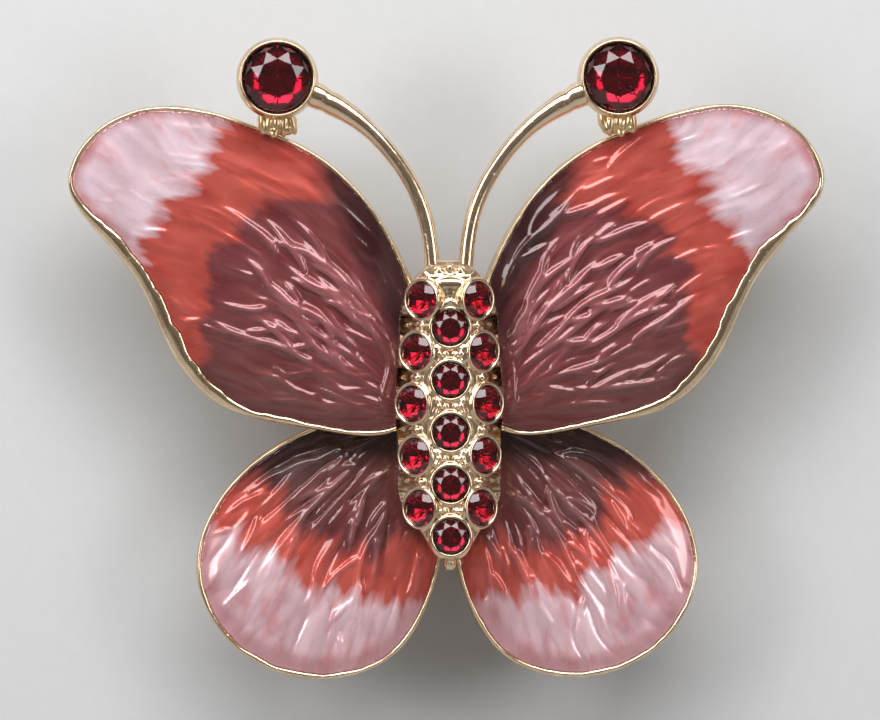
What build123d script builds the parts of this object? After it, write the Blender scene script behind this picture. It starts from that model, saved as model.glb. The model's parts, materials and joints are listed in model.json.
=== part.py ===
"""Butterfly brooch: enamelled wings, a stone-set body, two antennae and a pin with a safety catch.

Bench frame, used while a piece is drawn: x across the wings, y toward the head, z up out of the
face, with z = 0 in the plane of the pin's axis. Worn frame, used in the files: +X to the right of
someone who faces the brooch, +Z toward the head, the face toward -Y, origin at the middle of the
pin's working length. Sizes are in millimetres.
"""

from build123d import *
from math import cos, hypot, radians, sin, tan
import os

# --- layers, measured from the pin's axis toward the face ---
PIN_Y = 4.0                 # the pin's height above the body's middle
BODY_BACK = 2.6             # back of the body, and of the pads that carry the pin's findings
BODY_TOP = 8.2              # flat ridge that carries the centre stones
UPPER_CREST = 6.2           # top of the upper wing's dome, at the root
LOWER_CREST = 4.4           # top of the lower wing's dome, at the root
UPPER_THICK = 1.5           # metal and enamel together
LOWER_THICK = 1.4
WING_DROOP = 4.0            # degrees that each wing leans back from the root
WING_ROOT_X = 2.0           # the line that the wings lean about

# --- wings ---
UPPER_REACH = 27.4          # from the brooch's middle line to the upper wing's tip
LOWER_REACH = 18.5
# x, y and width of the gold rim at each point of the right-hand wings, clockwise, drawn at the
# reach of the outline's own widest point
UPPER_OUTLINE = [
    (1.6, 3.0, 0.4), (3.0, 8.8, 0.35), (5.6, 13.6, 0.3), (9.6, 17.5, 0.3), (14.7, 19.8, 0.3),
    (20.5, 21.0, 0.35), (25.8, 18.9, 0.4), (27.4, 15.3, 0.45), (25.1, 11.9, 0.75),
    (22.0, 7.8, 0.95), (19.6, 2.8, 0.9), (16.2, -0.6, 0.7), (10.5, -2.1, 0.45), (3.4, -2.0, 0.4),
]
LOWER_OUTLINE = [
    (1.6, -4.0, 0.4), (3.6, -1.0, 0.35), (9.0, -1.7, 0.35), (14.2, -4.5, 0.35),
    (17.5, -8.4, 0.35), (18.5, -12.4, 0.35), (17.0, -16.6, 0.4), (13.0, -19.7, 0.4),
    (8.3, -20.3, 0.4), (4.2, -18.6, 0.35), (1.9, -15.2, 0.35), (0.9, -12.0, 0.35),
]
UPPER_DOME = (60.0, 28.0, (3.0, 3.0))       # radius, direction in degrees, a point on the crest
LOWER_DOME = (50.0, -42.0, (2.0, -5.0))
RIM_STAND = 0.15            # the rim's height above the enamel
ENAMEL_THICK = 0.7

# --- stones and their settings ---
BODY_STONE_R = 1.35
ANTENNA_STONE_R = 2.45
FACETS = 8
TABLE_SHARE = 0.56          # table radius over girdle radius
CROWN_SHARE = 0.36          # crown height over girdle radius
PAVILION_SHARE = 0.86       # pavilion depth over girdle radius
GIRDLE = 0.12
CULET_R = 0.08
SEAT_CLEARANCE = 0.06       # room under the culet
BEZEL_WALL = 0.2
BEZEL_LIP = 0.1             # the bezel's height above the girdle
BEZEL_R = BODY_STONE_R + BEZEL_WALL
STONE_GAP = 0.62            # between the bezels of two centre stones
STONE_PITCH = 2 * BEZEL_R + STONE_GAP
FIRST_STONE_Y = 5.1
SIDE_SPREAD = [0.35, 0.75, 1.05, 0.85, 0.55]    # each side bezel's inner edge off the middle line
SIDE_RISE = 0.15            # side stones above the middle between two centre stones
FLANK_SLOPE = 38.0          # degrees that the side stones lean outward
RIDGE_HALF = 1.4            # half-width of the flat ridge

# --- body ---
FLANK_MARGIN = 0.05         # body outside a side stone's bezel
HEAD_LENGTH = 2.8           # head plate, from the first side stones' centres
HEAD_HALF = 2.2             # half-width of the head plate
HEAD_END_HALF = 0.9
HEAD_FALL = 1.1             # how far the ridge drops at the head's end
TAIL_LENGTH = 0.9           # body past the last bezel
TAIL_END_HALF = 0.8
TAIL_SHOULDER = 0.35        # body outside the last bezel
TAIL_FALL = 2.8
BODY_WALL = 1.0             # metal round the hollow in the body's back
HOLLOW_DEPTH = 2.3
TAIL_BEAD_R = 0.5
BEAD_R = 0.26               # small gold beads between the stones
BEAD_SHARE = 0.5            # place of a centre bead over the bezel's radius
PRONG_OUT = 0.95            # prong beads lie this far outside the side stones' centres

# --- antennae ---
ANTENNA_R = 0.5
ANTENNA_BASE = (1.15, 8.9)
ANTENNA_SINK = 1.3          # the wire's start below the ridge
# the wire's way from its base to the cup's centre, as shares of the distance in x and in y
ANTENNA_BEND = [(0.0, 0.0), (0.05, 0.29), (0.23, 0.58), (0.52, 0.81), (0.82, 0.94)]
FLARE_R = 0.95              # the wire's foot where it meets the cup
FLARE_LENGTH = 1.8
CUP_ALONG = (12.2, 22.9)    # the cup's centre, drawn with the upper wing's outline
CUP_DROP = 2.2              # the cup's base below the upper wing's crest
CUP_HEIGHT = 2.9
CUP_BASE_R = 2.1
CUP_WALL = 0.45
CUP_BASE = UPPER_CREST - CUP_DROP
BRIDGE_WIDTH = 2.6
BRIDGE_THICK = 1.2
BRIDGE_RISE = 0.3           # the bridge's underside above the cup's base
BRIDGE_REACH = 1.5          # how far the bridge runs past the cup's rim

# --- pin, hinge and catch ---
HINGE_INSET = 12.0          # from the wing's tip in to the hinge's axis
CATCH_INSET = 12.5          # from the other wing's tip in to the catch's middle
STEM_R = 0.4
STEM_END = 1.1              # from the working length's end to the catch
KNUCKLE_R = 1.1
KNUCKLE_WIDTH = 1.6
NECK = 1.8                  # from the knuckle to the working length
CATCH_STEM_R = 0.32         # the stem where the taper starts
TIP_R = 0.08
TIP_PAST = 1.9              # the tip past the catch
RIVET_R = 0.45
RIVET_HEAD_R = 0.8
RIVET_HEAD = 0.35
RUNNING = 0.04              # radial clearance of what turns
SIDE_PLAY = 0.08            # clearance beside what turns
CHEEK = 0.55                # thickness of the hinge's cheeks
BRACKET_LENGTH = 3.4
BRACKET_BASE = 0.5
PAD_MARGIN = 0.4            # the wing's pad outside a finding's foot
PAD_WELD = 0.3              # how far a pad runs into the tray's metal
CATCH_WALL = 0.48
CATCH_LENGTH = 2.6
CATCH_CHEEK = 0.4
CATCH_BORE_R = 0.72
ROLLER_R = 1.28
MOUTH = 1.15                # width of the slot that the stem drops into
LEVER_ANGLE = 38.0          # the lever's place at rest, from the mouth
LEVER_TRAVEL = 95.0
LEVER_SPARE = 18.0          # the window's length past the lever at each end, in degrees
LEVER_WIDTH = 0.7
LEVER_THICK = 0.6
LEVER_REACH = 2.9
FOOT_WIDTH = 2.4
FAR = 60.0                  # longer than anything on the brooch

CATCH_R = ROLLER_R + RUNNING + CATCH_WALL
HINGE_X = HINGE_INSET - UPPER_REACH
CATCH_X = UPPER_REACH - CATCH_INSET
STEM_START_X = HINGE_X + KNUCKLE_R + NECK
STEM_END_X = CATCH_X - CATCH_LENGTH / 2 - STEM_END
CENTRE_X = (STEM_START_X + STEM_END_X) / 2


def drawn(rows, reach):
    """Outline rows brought to the wing's real reach."""
    scale = reach / max(x for x, _, _ in rows)
    return [(x * scale, y * scale, rim) for x, y, rim in rows]


UPPER_ROWS = drawn(UPPER_OUTLINE, UPPER_REACH)
LOWER_ROWS = drawn(LOWER_OUTLINE, LOWER_REACH)
CUP_CENTRE = tuple(c * UPPER_REACH / max(x for x, _, _ in UPPER_OUTLINE) for c in CUP_ALONG)


def wing_points(rows, inset):
    """Outline points of a right-hand wing, moved in by the rim's width when inset is true."""
    points = []
    for i, (x, y, rim) in enumerate(rows):
        x0, y0, _ = rows[i - 1]
        x1, y1, _ = rows[(i + 1) % len(rows)]
        length = hypot(x1 - x0, y1 - y0)
        step = rim if inset else 0.0
        # the outlines run clockwise, so the inside is to the right of the way along
        points.append((x + (y1 - y0) / length * step, y - (x1 - x0) / length * step))
    return points


def column(rows, inset):
    """A tall prism on a wing's outline."""
    return extrude(make_face(Spline(*wing_points(rows, inset), periodic=True)), amount=FAR, both=True)


def dome(shape, crest, depth):
    """The solid under a wing's domed face, its top lowered by depth."""
    radius, angle, (x, y) = shape
    bar = Rot(0, 90, 0) * Cylinder(radius - depth, 4 * FAR)
    return Pos(x, y, crest - radius) * Rot(0, 0, angle) * bar


def lean_back(shape):
    """Lean a right-hand wing back about its root line."""
    return Pos(WING_ROOT_X, 0, BODY_TOP) * Rot(0, WING_DROOP, 0) * Pos(-WING_ROOT_X, 0, -BODY_TOP) * shape


def wing(rows, shape, crest, thick, footprint):
    """Gold tray and enamel of a right-hand wing, cut to butt against the body."""
    enamel_floor = RIM_STAND + ENAMEL_THICK
    outer = column(rows, False)
    inner = column(rows, True)
    tray = (outer & dome(shape, crest, 0)) - dome(shape, crest, thick)
    tray = tray - (inner - dome(shape, crest, enamel_floor))
    enamel = (inner & dome(shape, crest, RIM_STAND)) - dome(shape, crest, enamel_floor)
    return [lean_back(piece) - footprint for piece in (tray, enamel)]


def with_pad(tray, x, length, width):
    """Upper wing's tray with a pad on its back, level with the body's back, for a finding's foot."""
    size = (length + 2 * PAD_MARGIN, width + 2 * PAD_MARGIN, UPPER_CREST - BODY_BACK)
    block = Pos(x, PIN_Y, BODY_BACK) * Box(*size, align=(Align.CENTER, Align.CENTER, Align.MIN))
    return tray + (block & lean_back(dome(UPPER_DOME, UPPER_CREST, UPPER_THICK - PAD_WELD)))


def centre_stones():
    """Height of each centre stone along the body, from the head down."""
    return [FIRST_STONE_Y - i * STONE_PITCH for i in range(len(SIDE_SPREAD))]


def side_stones():
    """Place of each side stone on the right flank, beside and above its centre stone."""
    rise = STONE_PITCH / 2 + SIDE_RISE
    return [(spread + BEZEL_R, y + rise) for spread, y in zip(SIDE_SPREAD, centre_stones())]


def flank_z(x):
    """Height of the body's surface at x."""
    return BODY_TOP - max(0.0, x - RIDGE_HALF) * tan(radians(FLANK_SLOPE))


def body_outline(inset):
    """Half-width and height of the body's right edge, from head to tail."""
    beside = BEZEL_R * cos(radians(FLANK_SLOPE)) + FLANK_MARGIN - inset
    last_y = centre_stones()[-1]
    head_end = side_stones()[0][1] + HEAD_LENGTH - inset
    head = [(HEAD_END_HALF - inset / 2, head_end), (HEAD_HALF - inset, head_end - HEAD_HALF / 2)]
    flank = [(x + beside, y) for x, y in side_stones()]
    tail = [(BEZEL_R + TAIL_SHOULDER - inset, last_y), (TAIL_END_HALF - inset / 2, last_y - BEZEL_R + inset)]
    return head + flank + tail


def footprint(inset=0.0):
    """A tall prism on the body's outline."""
    right = body_outline(inset)
    left = [(-x, y) for x, y in reversed(right)]
    return extrude(make_face(Spline(*right, *left, periodic=True)), amount=FAR, both=True)


def prism(points, plane):
    """A tall prism on a polygon that lies in the given plane."""
    return extrude(make_face(plane * Polyline(*points, close=True)), amount=FAR, both=True)


def body_block():
    """Body without its seats: a flat ridge, sloping flanks, a lowered head and tail, a hollow back."""
    side_x = RIDGE_HALF + FAR
    side_z = BODY_TOP - FAR * tan(radians(FLANK_SLOPE))
    across = [(-RIDGE_HALF, BODY_TOP), (RIDGE_HALF, BODY_TOP), (side_x, side_z), (-side_x, side_z)]
    head_y = side_stones()[0][1] + HEAD_LENGTH
    head_slope_y = head_y - HEAD_FALL
    tail_slope_y = centre_stones()[-1] - BEZEL_R
    tail_y = tail_slope_y - TAIL_LENGTH
    along = [
        (tail_y, BODY_BACK), (tail_y, BODY_TOP - TAIL_FALL), (tail_slope_y, BODY_TOP),
        (head_slope_y, BODY_TOP), (head_y, BODY_TOP - HEAD_FALL), (head_y, BODY_BACK),
    ]
    hollow = footprint(BODY_WALL) & Pos(0, 0, BODY_BACK) * Box(FAR, FAR, 2 * HOLLOW_DEPTH)
    return (footprint() & prism(across, Plane.XZ) & prism(along, Plane.YZ)) - hollow


def seat_places():
    """Name and place of each stone on the body, with z out of the girdle's lower edge."""
    places = {}
    for i, (centre_y, (x, y)) in enumerate(zip(centre_stones(), side_stones())):
        places[f"centre_stone_{i + 1}"] = Pos(0, centre_y, BODY_TOP)
        places[f"right_stone_{i + 1}"] = Pos(x, y, flank_z(x)) * Rot(0, FLANK_SLOPE, 0)
        places[f"left_stone_{i + 1}"] = Pos(-x, y, flank_z(x)) * Rot(0, -FLANK_SLOPE, 0)
    return places


def stone(radius):
    """Cut stone with its girdle's lower edge at z = 0."""
    crown = CROWN_SHARE * radius
    pavilion = PAVILION_SHARE * radius
    wide = RegularPolygon(radius, FACETS)
    table = RegularPolygon(radius * TABLE_SHARE, FACETS)
    culet = RegularPolygon(CULET_R, FACETS)
    top = loft([Pos(0, 0, GIRDLE) * wide, Pos(0, 0, GIRDLE + crown) * table], ruled=True)
    bottom = loft([Pos(0, 0, -pavilion) * culet, wide], ruled=True)
    girdle = extrude(Circle(radius), amount=GIRDLE)
    return girdle + top + bottom


def seat(radius):
    """Room for a stone: a cone under it and an open bore above."""
    depth = PAVILION_SHARE * radius + SEAT_CLEARANCE
    cone = Pos(0, 0, -depth / 2) * Cone(CULET_R + SEAT_CLEARANCE, radius, depth)
    return cone + Pos(0, 0, radius) * Cylinder(radius, 2 * radius)


def bead_places():
    """Places of the small beads between the stones and of the bead at the tail."""
    centres = centre_stones()
    for y, after in zip(centres, centres[1:]):
        for side in (-1, 1):
            yield Pos(side * BEAD_SHARE * BEZEL_R, (y + after) / 2, BODY_TOP + BEAD_R / 2), BEAD_R
    sides = side_stones()
    for (x, y), (x2, y2) in zip(sides, sides[1:]):
        prong_x = (x + x2) / 2 + PRONG_OUT
        for side in (-1, 1):
            yield Pos(side * prong_x, (y + y2) / 2, flank_z(prong_x)), BEAD_R
    yield Pos(0, centres[-1] - BEZEL_R - TAIL_BEAD_R, BODY_TOP - TAIL_FALL / 2), TAIL_BEAD_R


def body():
    """Body casting: the block, a bezel round each stone, and the beads."""
    block = body_block()
    collar = Pos(0, 0, GIRDLE + BEZEL_LIP - BEZEL_R / 2) * Cylinder(BEZEL_R, BEZEL_R)
    for place in seat_places().values():
        block += place * collar
    for place, radius in bead_places():
        block += place * Sphere(radius)
    hole = seat(BODY_STONE_R)
    for place in seat_places().values():
        block -= place * hole
    return block


def antenna_cup():
    """Solid blank of an antenna stone's cup."""
    outer_r = ANTENNA_STONE_R + CUP_WALL
    return Pos(*CUP_CENTRE, CUP_BASE + CUP_HEIGHT / 2) * Cone(CUP_BASE_R, outer_r, CUP_HEIGHT)


def antenna_seat_place():
    """Place of an antenna stone, at its girdle's lower edge."""
    return Pos(*CUP_CENTRE, CUP_BASE + CUP_HEIGHT - GIRDLE - BEZEL_LIP)


def antenna_wire():
    """Wire from the head to the cup, flared at the cup, without the cuts that fit it to them."""
    base_x, base_y = ANTENNA_BASE
    cup_x, cup_y = CUP_CENTRE
    base_z = BODY_TOP - ANTENNA_SINK
    fall = base_z - (CUP_BASE + CUP_HEIGHT / 2)
    points = [
        (base_x + across * (cup_x - base_x), base_y + up * (cup_y - base_y), base_z - across * fall)
        for across, up in ANTENNA_BEND
    ]
    path = Spline(*points)
    wire = sweep(Plane(origin=path @ 0, z_dir=path % 0) * Circle(ANTENNA_R), path=path)
    direction = path % 1
    middle = path @ 1 - direction * FLARE_LENGTH / 2
    return wire + Plane(origin=middle, z_dir=direction) * Cone(ANTENNA_R, FLARE_R, FLARE_LENGTH)


def cup_bridge():
    """Lug between a cup's lower side and the upper wing's edge, without the cuts that fit it to them."""
    length = ANTENNA_STONE_R + CUP_WALL + BRIDGE_REACH
    lug = Box(BRIDGE_WIDTH, length, BRIDGE_THICK, align=(Align.CENTER, Align.MAX, Align.MIN))
    lug = fillet(lug.edges().group_by(Axis.Y)[0], BRIDGE_THICK / 3)
    return Pos(*CUP_CENTRE, CUP_BASE + BRIDGE_RISE) * lug


def across_hinge(shape):
    """Put a shape drawn about z on the hinge's axis."""
    return Pos(HINGE_X, PIN_Y, 0) * Rot(90, 0, 0) * shape


def stem_part(start_x, end_x, start_r, end_r):
    """Round length of the pin between two places along x."""
    length = end_x - start_x
    part = Cylinder(start_r, length) if start_r == end_r else Cone(start_r, end_r, length)
    return Pos((start_x + end_x) / 2, PIN_Y, 0) * Rot(0, 90, 0) * part


def pin():
    """Stem with its knuckle and tapered tip, in the pin's closed place."""
    tip_x = CATCH_X + CATCH_LENGTH / 2 + TIP_PAST
    stem = stem_part(HINGE_X, STEM_END_X, STEM_R, STEM_R)
    taper = stem_part(STEM_END_X, tip_x, CATCH_STEM_R, TIP_R)
    bore = across_hinge(Cylinder(RIVET_R + RUNNING, 2 * KNUCKLE_WIDTH))
    return across_hinge(Cylinder(KNUCKLE_R, KNUCKLE_WIDTH)) + stem + taper - bore


def cheek_offset():
    """Distance from the pin's middle plane to a hinge cheek's middle plane."""
    return KNUCKLE_WIDTH / 2 + SIDE_PLAY + CHEEK / 2


def bracket_width():
    """Width of the hinge bracket over both cheeks."""
    return 2 * cheek_offset() + CHEEK


def hinge_bracket():
    """Base plate with two cheeks, soldered to the left wing's pad."""
    base_z = BODY_BACK - BRACKET_BASE / 2
    bracket = Pos(HINGE_X, PIN_Y, base_z) * Box(BRACKET_LENGTH, bracket_width(), BRACKET_BASE)
    for side in (-1, 1):
        y = PIN_Y + side * cheek_offset()
        bracket += Pos(HINGE_X, y, 0) * Rot(90, 0, 0) * Cylinder(KNUCKLE_R, CHEEK)
        bracket += Pos(HINGE_X, y, BODY_BACK / 2) * Box(2 * KNUCKLE_R, CHEEK, BODY_BACK)
    return bracket - across_hinge(Cylinder(RIVET_R, FAR))


def hinge_rivet():
    """Rivet through both cheeks and the pin's knuckle."""
    half = bracket_width() / 2
    rivet = Cylinder(RIVET_R, 2 * half)
    for side in (-1, 1):
        rivet += Pos(0, 0, side * (half + RIVET_HEAD / 2)) * Cylinder(RIVET_HEAD_R, RIVET_HEAD)
    return across_hinge(rivet)


def along_catch(shape):
    """Put a shape drawn about z, with its mouth toward +x, on the catch's axis."""
    return Pos(CATCH_X, PIN_Y, 0) * Rot(0, 90, 0) * shape


def mouth(radius, length):
    """Slot from the catch's axis out through a radius."""
    return Pos(radius, 0, 0) * Box(2 * radius, MOUTH, 2 * length)


def lever_window():
    """Arc round the barrel that the lever travels in."""
    start = LEVER_ANGLE - LEVER_SPARE
    steps = [radians(start + (LEVER_TRAVEL + 2 * LEVER_SPARE) * i / 4) for i in range(5)]
    rays = [(FAR * cos(angle), FAR * sin(angle)) for angle in steps]
    width = LEVER_WIDTH + 2 * SIDE_PLAY
    wedge = extrude(make_face(Polyline((0, 0), *rays, close=True)), amount=width / 2, both=True)
    return wedge - Cylinder(ROLLER_R, FAR)


def catch_housing():
    """Slotted barrel on a foot, with a window round it for the roller's lever."""
    barrel = Cylinder(CATCH_R, CATCH_LENGTH)
    foot = Pos(-BODY_BACK / 2, 0, 0) * Box(BODY_BACK, FOOT_WIDTH, CATCH_LENGTH)
    chamber = Cylinder(ROLLER_R + RUNNING, CATCH_LENGTH - 2 * CATCH_CHEEK)
    bore = Cylinder(CATCH_BORE_R, 2 * CATCH_LENGTH)
    return along_catch(barrel + foot - chamber - bore - mouth(CATCH_R, CATCH_LENGTH) - lever_window())


def catch_roller():
    """Slotted roller with a lever, at rest with its slot in line with the mouth."""
    length = CATCH_LENGTH - 2 * CATCH_CHEEK - 2 * SIDE_PLAY
    lever_start = (CATCH_BORE_R + ROLLER_R) / 2
    lever_length = LEVER_REACH - lever_start
    lever = Pos(lever_start + lever_length / 2, 0, 0) * Box(lever_length, LEVER_THICK, LEVER_WIDTH)
    knob = Pos(LEVER_REACH, 0, 0) * Cylinder(LEVER_THICK * 0.75, LEVER_WIDTH)
    roller = Cylinder(ROLLER_R, length) + Rot(0, 0, LEVER_ANGLE) * (lever + knob)
    return along_catch(roller - Cylinder(CATCH_BORE_R, 2 * length) - mouth(ROLLER_R, length))


def wing_nodes():
    """Trays and enamels of the four wings."""
    outline = footprint()
    upper, upper_enamel = wing(UPPER_ROWS, UPPER_DOME, UPPER_CREST, UPPER_THICK, outline)
    lower, lower_enamel = wing(LOWER_ROWS, LOWER_DOME, LOWER_CREST, LOWER_THICK, outline)
    under_hinge = with_pad(upper, -HINGE_X, BRACKET_LENGTH, bracket_width())
    nodes = {
        "upper_wing_right": with_pad(upper, CATCH_X, CATCH_LENGTH, FOOT_WIDTH),
        "upper_wing_left": mirror(under_hinge, about=Plane.YZ),
    }
    paired = {"lower_wing": lower, "upper_enamel": upper_enamel, "lower_enamel": lower_enamel}
    for name, shape in paired.items():
        nodes[f"{name}_right"] = shape
        nodes[f"{name}_left"] = mirror(shape, about=Plane.YZ)
    return nodes


def antenna_nodes(casting, tray, enamel):
    """Both antennae: wire, cup, stone and the bridge to the wing."""
    blank = antenna_cup()
    room = antenna_seat_place() * seat(ANTENNA_STONE_R)
    wire = antenna_wire() - blank - room
    pieces = {
        "antenna_cup": blank - room,
        "antenna_stone": antenna_seat_place() * stone(ANTENNA_STONE_R),
        "cup_bridge": cup_bridge() - blank - tray - enamel,
    }
    nodes = {
        "antenna_right": wire - casting,
        "antenna_left": mirror(wire, about=Plane.YZ) - casting,
    }
    for name, shape in pieces.items():
        nodes[f"{name}_right"] = shape
        nodes[f"{name}_left"] = mirror(shape, about=Plane.YZ)
    return nodes


def stand_up(shape):
    """Turn a piece from the bench frame into the worn frame."""
    return Pos(-CENTRE_X, 0, -PIN_Y) * Rot(90, 0, 0) * shape


def build():
    """Every node of the brooch in the worn frame."""
    casting = body()
    nodes = {"body_casting": casting}
    nodes.update(wing_nodes())
    for name, place in seat_places().items():
        nodes[name] = place * stone(BODY_STONE_R)
    nodes.update(antenna_nodes(casting, nodes["upper_wing_right"], nodes["upper_enamel_right"]))
    nodes["hinge_bracket"] = hinge_bracket()
    nodes["hinge_rivet"] = hinge_rivet()
    nodes["pin_stem"] = pin()
    nodes["catch_housing"] = catch_housing()
    nodes["catch_roller"] = catch_roller()
    return {name: stand_up(shape) for name, shape in nodes.items()}


if __name__ == "__main__":
    os.makedirs("parts", exist_ok=True)
    for node, solid in build().items():
        export_step(solid, f"parts/{node}.step")
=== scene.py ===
"""Looks of a butterfly brooch: enamelled wings, a stone-set body, antennae and a hinged pin.

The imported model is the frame: +X to the right of someone who faces the brooch, +Z toward the
head, the face toward -Y, and the pin's axis through the origin. Pieces are drawn in a bench frame
in millimetres (x across, y toward the head, z out of the face, from the pin's axis) and stood up
into the worn frame in metres.
"""

import json
import logging
import math
from dataclasses import dataclass, field
from enum import Enum
from typing import Callable, Iterable, Optional, Sequence

import bmesh
import bpy
import numpy as np
from mathutils import Matrix, Vector
from mathutils.geometry import delaunay_2d_cdt

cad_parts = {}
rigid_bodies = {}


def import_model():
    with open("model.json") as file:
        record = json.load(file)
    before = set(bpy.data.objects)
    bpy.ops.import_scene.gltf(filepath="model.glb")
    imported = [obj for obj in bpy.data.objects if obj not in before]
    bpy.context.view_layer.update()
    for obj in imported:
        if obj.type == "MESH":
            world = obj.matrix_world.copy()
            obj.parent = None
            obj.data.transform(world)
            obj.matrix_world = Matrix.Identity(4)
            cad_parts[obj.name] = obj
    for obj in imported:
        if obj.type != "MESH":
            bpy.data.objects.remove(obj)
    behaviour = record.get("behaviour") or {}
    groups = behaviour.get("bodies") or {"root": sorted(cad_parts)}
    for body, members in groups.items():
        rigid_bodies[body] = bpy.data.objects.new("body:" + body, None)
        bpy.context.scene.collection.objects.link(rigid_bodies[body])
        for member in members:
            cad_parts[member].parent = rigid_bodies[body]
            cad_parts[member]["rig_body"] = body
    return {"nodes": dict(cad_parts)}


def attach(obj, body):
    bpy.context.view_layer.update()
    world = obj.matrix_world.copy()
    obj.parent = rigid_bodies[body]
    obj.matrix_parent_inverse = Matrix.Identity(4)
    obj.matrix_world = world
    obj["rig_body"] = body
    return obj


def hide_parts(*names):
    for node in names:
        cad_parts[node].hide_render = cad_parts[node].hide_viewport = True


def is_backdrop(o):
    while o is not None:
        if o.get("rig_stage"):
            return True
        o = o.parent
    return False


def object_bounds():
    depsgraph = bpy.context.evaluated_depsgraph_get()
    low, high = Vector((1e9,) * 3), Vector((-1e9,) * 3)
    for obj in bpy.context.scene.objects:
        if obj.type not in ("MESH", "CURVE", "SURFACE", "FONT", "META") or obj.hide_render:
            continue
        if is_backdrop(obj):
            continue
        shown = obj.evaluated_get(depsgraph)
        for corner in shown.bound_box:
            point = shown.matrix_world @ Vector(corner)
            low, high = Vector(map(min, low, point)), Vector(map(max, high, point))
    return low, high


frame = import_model()
CAD_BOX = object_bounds()

LOG = logging.getLogger("brooch")
MM = 0.001
PIN_Y = 4.0
BODY_TOP = 8.2
WING_DROOP = math.radians(4.0)
WING_ROOT_X = 2.0
FLANK_SLOPE = math.radians(38.0)
RIDGE_HALF = 1.4
BROOCH = "brooch"

Point = tuple[float, float]
Place = tuple[float, float, float]
Color = tuple[float, float, float]
Faces = list[tuple[int, ...]]


class Side(Enum):
    """Which half of the brooch a piece belongs to."""

    LEFT = -1
    RIGHT = 1

    @property
    def word(self) -> str:
        """The side's name as the parts use it."""
        return self.name.lower()


class Level(Enum):
    """Which pair of wings a wing belongs to."""

    UPPER = "upper"
    LOWER = "lower"


# ---------------------------------------------------------------------------------------------
# Curves, surfaces and meshes
# ---------------------------------------------------------------------------------------------


def smooth(low: float, high: float, value: np.ndarray) -> np.ndarray:
    """Smooth step of value from low to high."""
    t = np.clip((value - low) / (high - low), 0.0, 1.0)
    return t * t * (3.0 - 2.0 * t)


class ClosedCurve:
    """Smooth closed curve through a few points."""

    def __init__(self, points: Sequence[Point]) -> None:
        """Solve the curve's bends.

        Args:
            points: points that the curve passes through, in order.
        """
        self.points = np.array(points, float)
        after = np.roll(self.points, -1, axis=0)
        self.step = np.linalg.norm(after - self.points, axis=1)
        count = len(points)
        matrix = np.zeros((count, count))
        slope = (after - self.points) / self.step[:, None]
        for i in range(count):
            matrix[i, i - 1] += self.step[i - 1]
            matrix[i, i] += 2 * (self.step[i - 1] + self.step[i])
            matrix[i, (i + 1) % count] += self.step[i]
        self.bend = np.linalg.solve(matrix, 6 * (slope - np.roll(slope, 1, axis=0)))

    def sample(self, per_span: int) -> np.ndarray:
        """Points along the curve.

        Args:
            per_span: samples from each given point to the next.

        Returns:
            An array of points, the same number on each span.
        """
        found = []
        for i, step in enumerate(self.step):
            j = (i + 1) % len(self.step)
            for t in np.arange(per_span) / per_span:
                a, b = 1 - t, t
                lift = ((a**3 - a) * self.bend[i] + (b**3 - b) * self.bend[j]) * step**2 / 6
                found.append(a * self.points[i] + b * self.points[j] + lift)
        return np.array(found)


def stand_up(points: np.ndarray, side: Side = Side.RIGHT) -> np.ndarray:
    """Bench millimetres to worn metres, mirrored for the left side."""
    x, y, z = points[:, 0] * side.value, points[:, 1], points[:, 2]
    return np.stack([x, -z, y - PIN_Y], axis=1) * MM


def polyline_distance(points: np.ndarray, line: np.ndarray) -> tuple[np.ndarray, np.ndarray]:
    """Distance from points to an open line.

    Args:
        points: N places.
        line: the line's corners, in order.

    Returns:
        The distance of each place, and the side it lies on: 1 to the left of the way along, -1 to the right.
    """
    best = np.full(len(points), 1e9)
    side = np.ones(len(points))
    for a, b in zip(line[:-1], line[1:]):
        along = b - a
        t = np.clip(((points - a) @ along) / (along @ along), 0, 1)
        off = points - a - t[:, None] * along
        distance = np.hypot(off[:, 0], off[:, 1])
        cross = along[0] * (points[:, 1] - a[1]) - along[1] * (points[:, 0] - a[0])
        nearer = distance < best
        best[nearer] = distance[nearer]
        side[nearer] = np.where(cross[nearer] >= 0, 1.0, -1.0)
    return best, side


def gap_to(points: np.ndarray, loop: np.ndarray) -> np.ndarray:
    """Distance from each place to the nearest point of a closely sampled loop.

    Args:
        points: N places.
        loop: the loop's points.

    Returns:
        One distance for each place.
    """
    found = np.empty(len(points))
    for start in range(0, len(points), 4096):
        part = points[start : start + 4096]
        off = part[:, None, :] - loop[None, :, :]
        found[start : start + 4096] = np.sqrt((off**2).sum(2).min(1))
    return found


def value_noise(points: np.ndarray, seed: int) -> np.ndarray:
    """Smooth noise over a plane.

    Args:
        points: N places, one unit per change of value.
        seed: number that fixes the pattern.

    Returns:
        A value from 0 to 1 for each place.
    """
    table = np.random.default_rng(seed).random((64, 64))
    cell = np.floor(points).astype(int)
    part = points - cell
    part = part * part * (3 - 2 * part)
    x0, y0 = cell[:, 0] % 64, cell[:, 1] % 64
    x1, y1 = (x0 + 1) % 64, (y0 + 1) % 64
    low = table[x0, y0] * (1 - part[:, 0]) + table[x1, y0] * part[:, 0]
    high = table[x0, y1] * (1 - part[:, 0]) + table[x1, y1] * part[:, 0]
    return low * (1 - part[:, 1]) + high * part[:, 1]


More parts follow.
